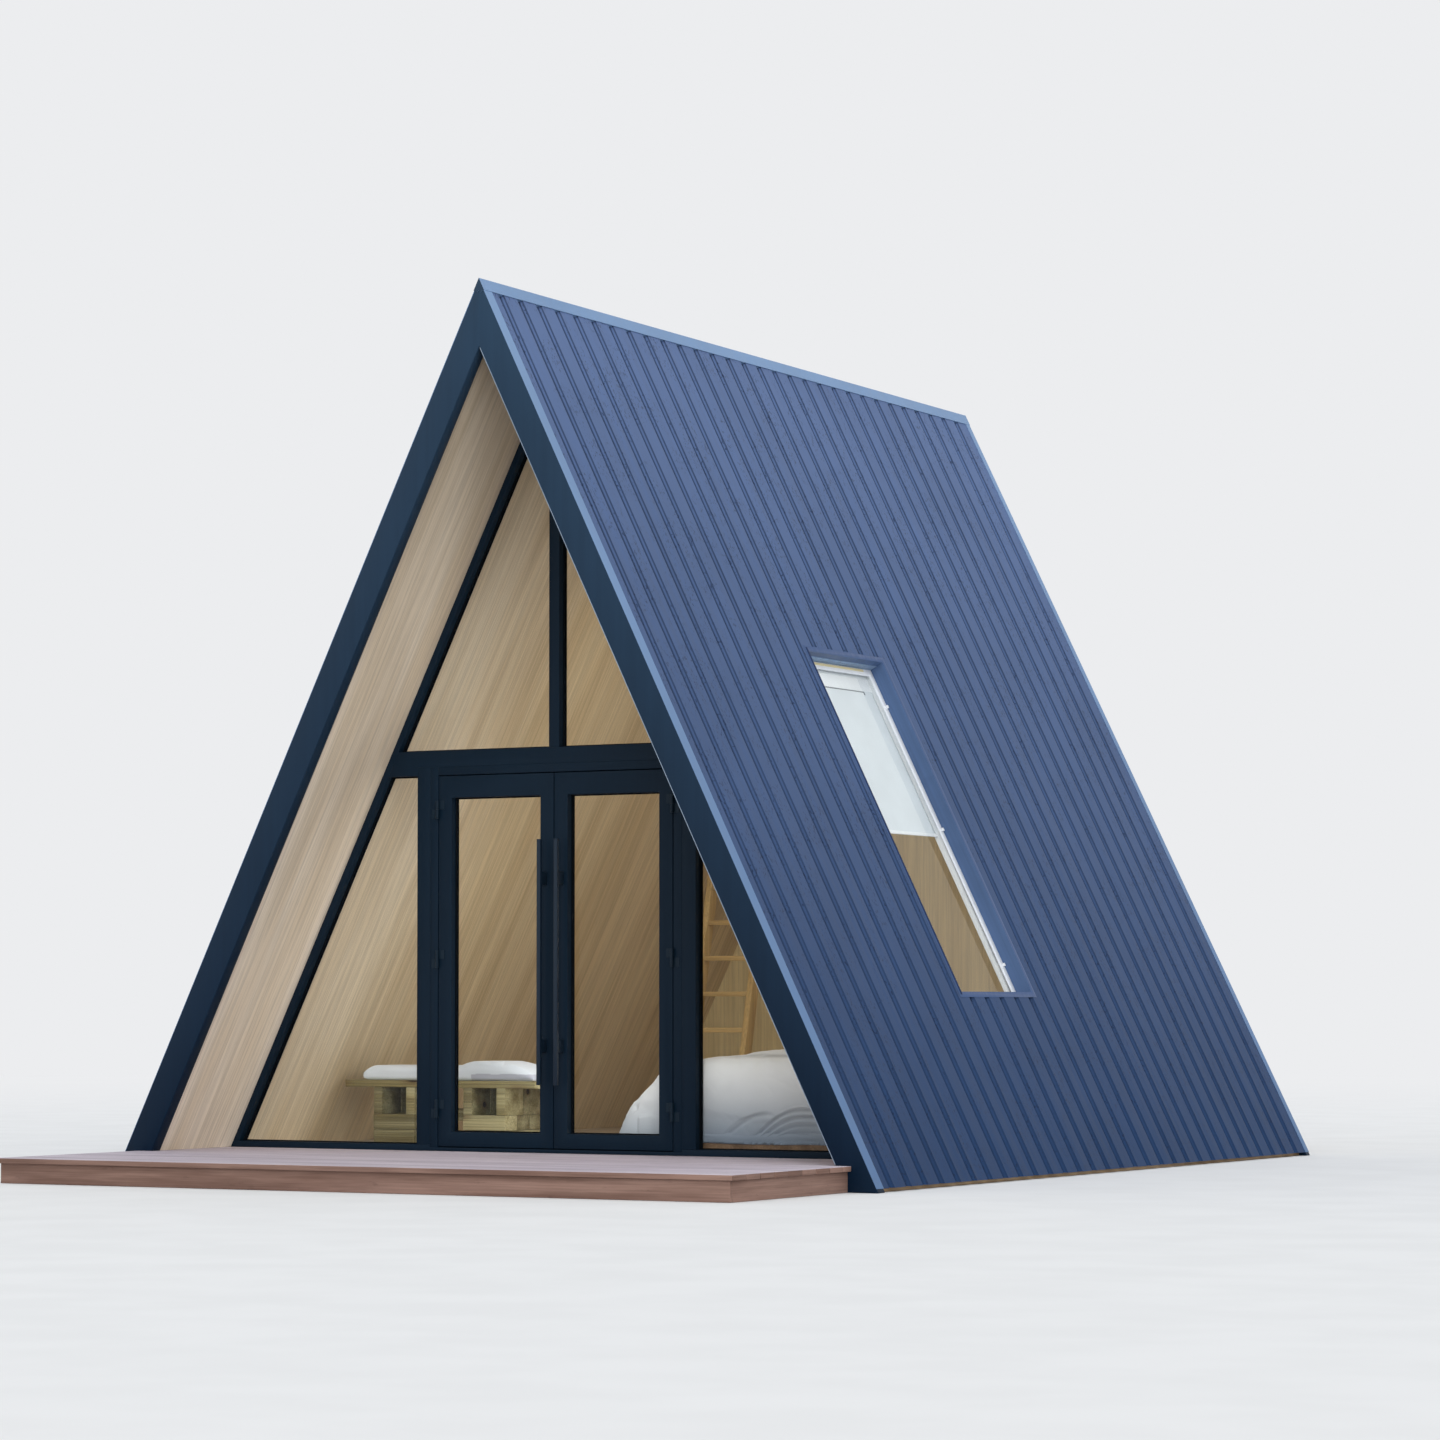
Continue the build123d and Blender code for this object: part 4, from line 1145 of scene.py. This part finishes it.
crease_depth, flat_skin, skin_gap, skin_reach = 0.016, 0.006, 0.006, 0.05
outward = [vertex.normal.copy() for vertex in duvet.data.vertices]
outside = [faces_away(vertex.co, normal) for vertex, normal in zip(duvet.data.vertices, outward)]
for vertex, normal, outer in zip(duvet.data.vertices, outward, outside):
    place = vertex.co
    if beside_bed(place, 0.03) and not outer:
        continue
    if normal.y < -0.5:
        vertex.co = place + Vector((0, 0.3 * (flat_skin - fold(place)), 0)) + puffed(place)
    else:
        vertex.co = place + normal * (fold(place) - 0.002) + puffed(place)
smooth_mesh(duvet, 2)
shades, cool_shades = [], []
for vertex, normal, outer in zip(duvet.data.vertices, outward, outside):
    place, depth = vertex.co, 0.0
    if normal.y < -0.5:
        depth = crease(place)
        place.y += crease_depth * depth
    place.x = clamped(place.x, duvet_low.x - 0.04, duvet_high.x + 0.004)
    place.y = clamped(place.y, duvet_low.y - 0.006, duvet_high.y + 0.01)
    if outer and beside_bed(place, skin_gap):
        if place.y < bed_low.y + skin_reach:
            place.y = min(place.y, bed_low.y - 0.005)
        if place.x < bed_low.x + skin_reach and normal.x < -0.5:
            place.x = min(place.x, bed_low.x - skin_gap)
    shades.append(max(0.55 * depth, crest_shade(place)) if outer else 0.0)
    # The second number is painted shade, cool and blue-grey, low on the cover.
    cool_shades.append(cool_shade_share(place))
write_shares(duvet, "crease", shades)
write_shares(duvet, "cool_tone", cool_shades)
duvet.data.shade_smooth()
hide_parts("duvet")
print("duvet faces:", len(duvet.data.polygons))

# %% [markdown]
# The studio is a pale floor that fades into a pale backdrop. Far from the cabin the camera sees the floor
# in the backdrop's own colour, so no horizon shows. Near it the floor keeps its paint, where the shadow
# falls.

# %% Studio floor
def studio_floor():
    """A wide pale floor."""
    shape = bmesh.new()
    bmesh.ops.create_grid(shape, x_segments=8, y_segments=8, size=60)
    bmesh.ops.translate(shape, vec=(0, 0, -0.001), verts=shape.verts)
    floor = place_object("studio_floor", mesh_of("studio_floor", shape))
    finish, tree, shader = new_finish("studio floor paint", 0.9, 0.2)
    place = object_place(tree)
    mottle = clouds(tree, place, 3.0, 0.5, 2.0)
    paint = mixed(tree, faded(tree, mottle, 0.3, 0.7), shade(235, 236, 237), shade(239, 240, 241))
    join(tree, paint, shader.inputs["Base Color"])
    distance = add(tree, "VectorMath", {"operation": "LENGTH"}, Vector=place).outputs["Value"]
    away = faded(tree, distance, 6.0, 30.0)
    seen = add(tree, "LightPath")
    share = worked(tree, "MULTIPLY", away, seen.outputs["Is Camera Ray"])
    white = add(tree, "Emission", Color=backdrop, Strength=1.0).outputs[0]
    both = either(tree, share, shader.outputs[0], white)
    join(tree, both, tree.nodes["Material Output"].inputs["Surface"])
    floor.data.materials.append(finish)


backdrop = shade(236, 237, 239)
studio_floor()
print("floor laid")

# %% [markdown]
# Soft light from all round does most of the work, so that a colour renders about as it is written. Two
# very soft suns stand front right. The high one gives the forms a lit and a shaded side. The low one
# shines in under the roof, which shades the porch from everything above. Three large dim bulbs light the
# room, because little light comes through the front: one low, one in the gable and one near the rear
# wall. No lamp shows in the picture or in a pane.

# %% Studio light
def hidden_lamp(name, kind, strength):
    """A lamp that neither the camera nor a pane sees, and the object that holds it."""
    lamp = bpy.data.lights.new(name, kind)
    lamp.energy = strength
    holder = place_object(name, lamp)
    holder.visible_camera = holder.visible_glossy = False
    return lamp, holder


def soft_sun(name, towards, angle, strength):
    """A sun as wide as a bank of lamps, so that its shadows are soft, from a direction."""
    lamp, holder = hidden_lamp(name, "SUN", strength)
    lamp.angle = math.radians(angle)
    holder.rotation_mode = "QUATERNION"
    holder.rotation_quaternion = Vector(towards).to_track_quat("Z", "Y")


def soft_bulb(name, place, radius, power):
    """A large round lamp that shines all round."""
    lamp, holder = hidden_lamp(name, "POINT", power)
    lamp.shadow_soft_size, holder.location = radius, place


def studio_world(strength):
    """Even light all round, and a white backdrop for what the camera, mirrors and glass see."""
    world = bpy.data.worlds.new("studio")
    world.use_nodes = True
    bpy.context.scene.world = world
    tree = world.node_tree
    tree.nodes.clear()
    light = add(tree, "Background", Color=(0.96, 0.98, 1.0, 1.0), Strength=strength).outputs[0]
    white = add(tree, "Background", Color=backdrop, Strength=1.0).outputs[0]
    path = add(tree, "LightPath").outputs
    seen = worked(tree, "MAXIMUM", path["Is Camera Ray"], path["Is Glossy Ray"])
    seen = worked(tree, "MAXIMUM", seen, path["Is Transmission Ray"])
    join(tree, either(tree, seen, light, white), add(tree, "OutputWorld").inputs["Surface"])


studio_world(0.72)
soft_sun("key light", (0.45, -0.60, 0.66), 40, 0.27 * math.pi)
soft_sun("low fill", (0.60, -0.79, 0.06), 60, 0.50 * math.pi)
soft_bulb("low room light", (-0.1, -0.7, 1.0), 0.4, 19)
soft_bulb("high room light", (0.3, 0.0, 2.7), 0.3, 9)
soft_bulb("rear room light", (0.4, 1.5, 1.8), 0.3, 7)

# %% [markdown]
# The camera stands low, to the right of the front corner, with a long lens. A photographer keeps a
# building's uprights straight by holding the camera nearly level and shifting the lens up, so the camera
# here tilts by two degrees and shifts a little.

# %% Camera
view = bpy.data.cameras.new("portrait")
camera = place_object("portrait", view)
view.sensor_width, view.lens, view.shift_y = 36.0, 103.272, 0.08
view.clip_end = 200
camera.location = (11.5665, -20.3533, 0.932)
camera.rotation_euler = (math.radians(90 + 2.3231), 0, math.radians(29.2836))
scene = bpy.context.scene
scene.camera = camera
scene.view_settings.view_transform = "Standard"
print("camera at", tuple(round(v, 2) for v in camera.location))
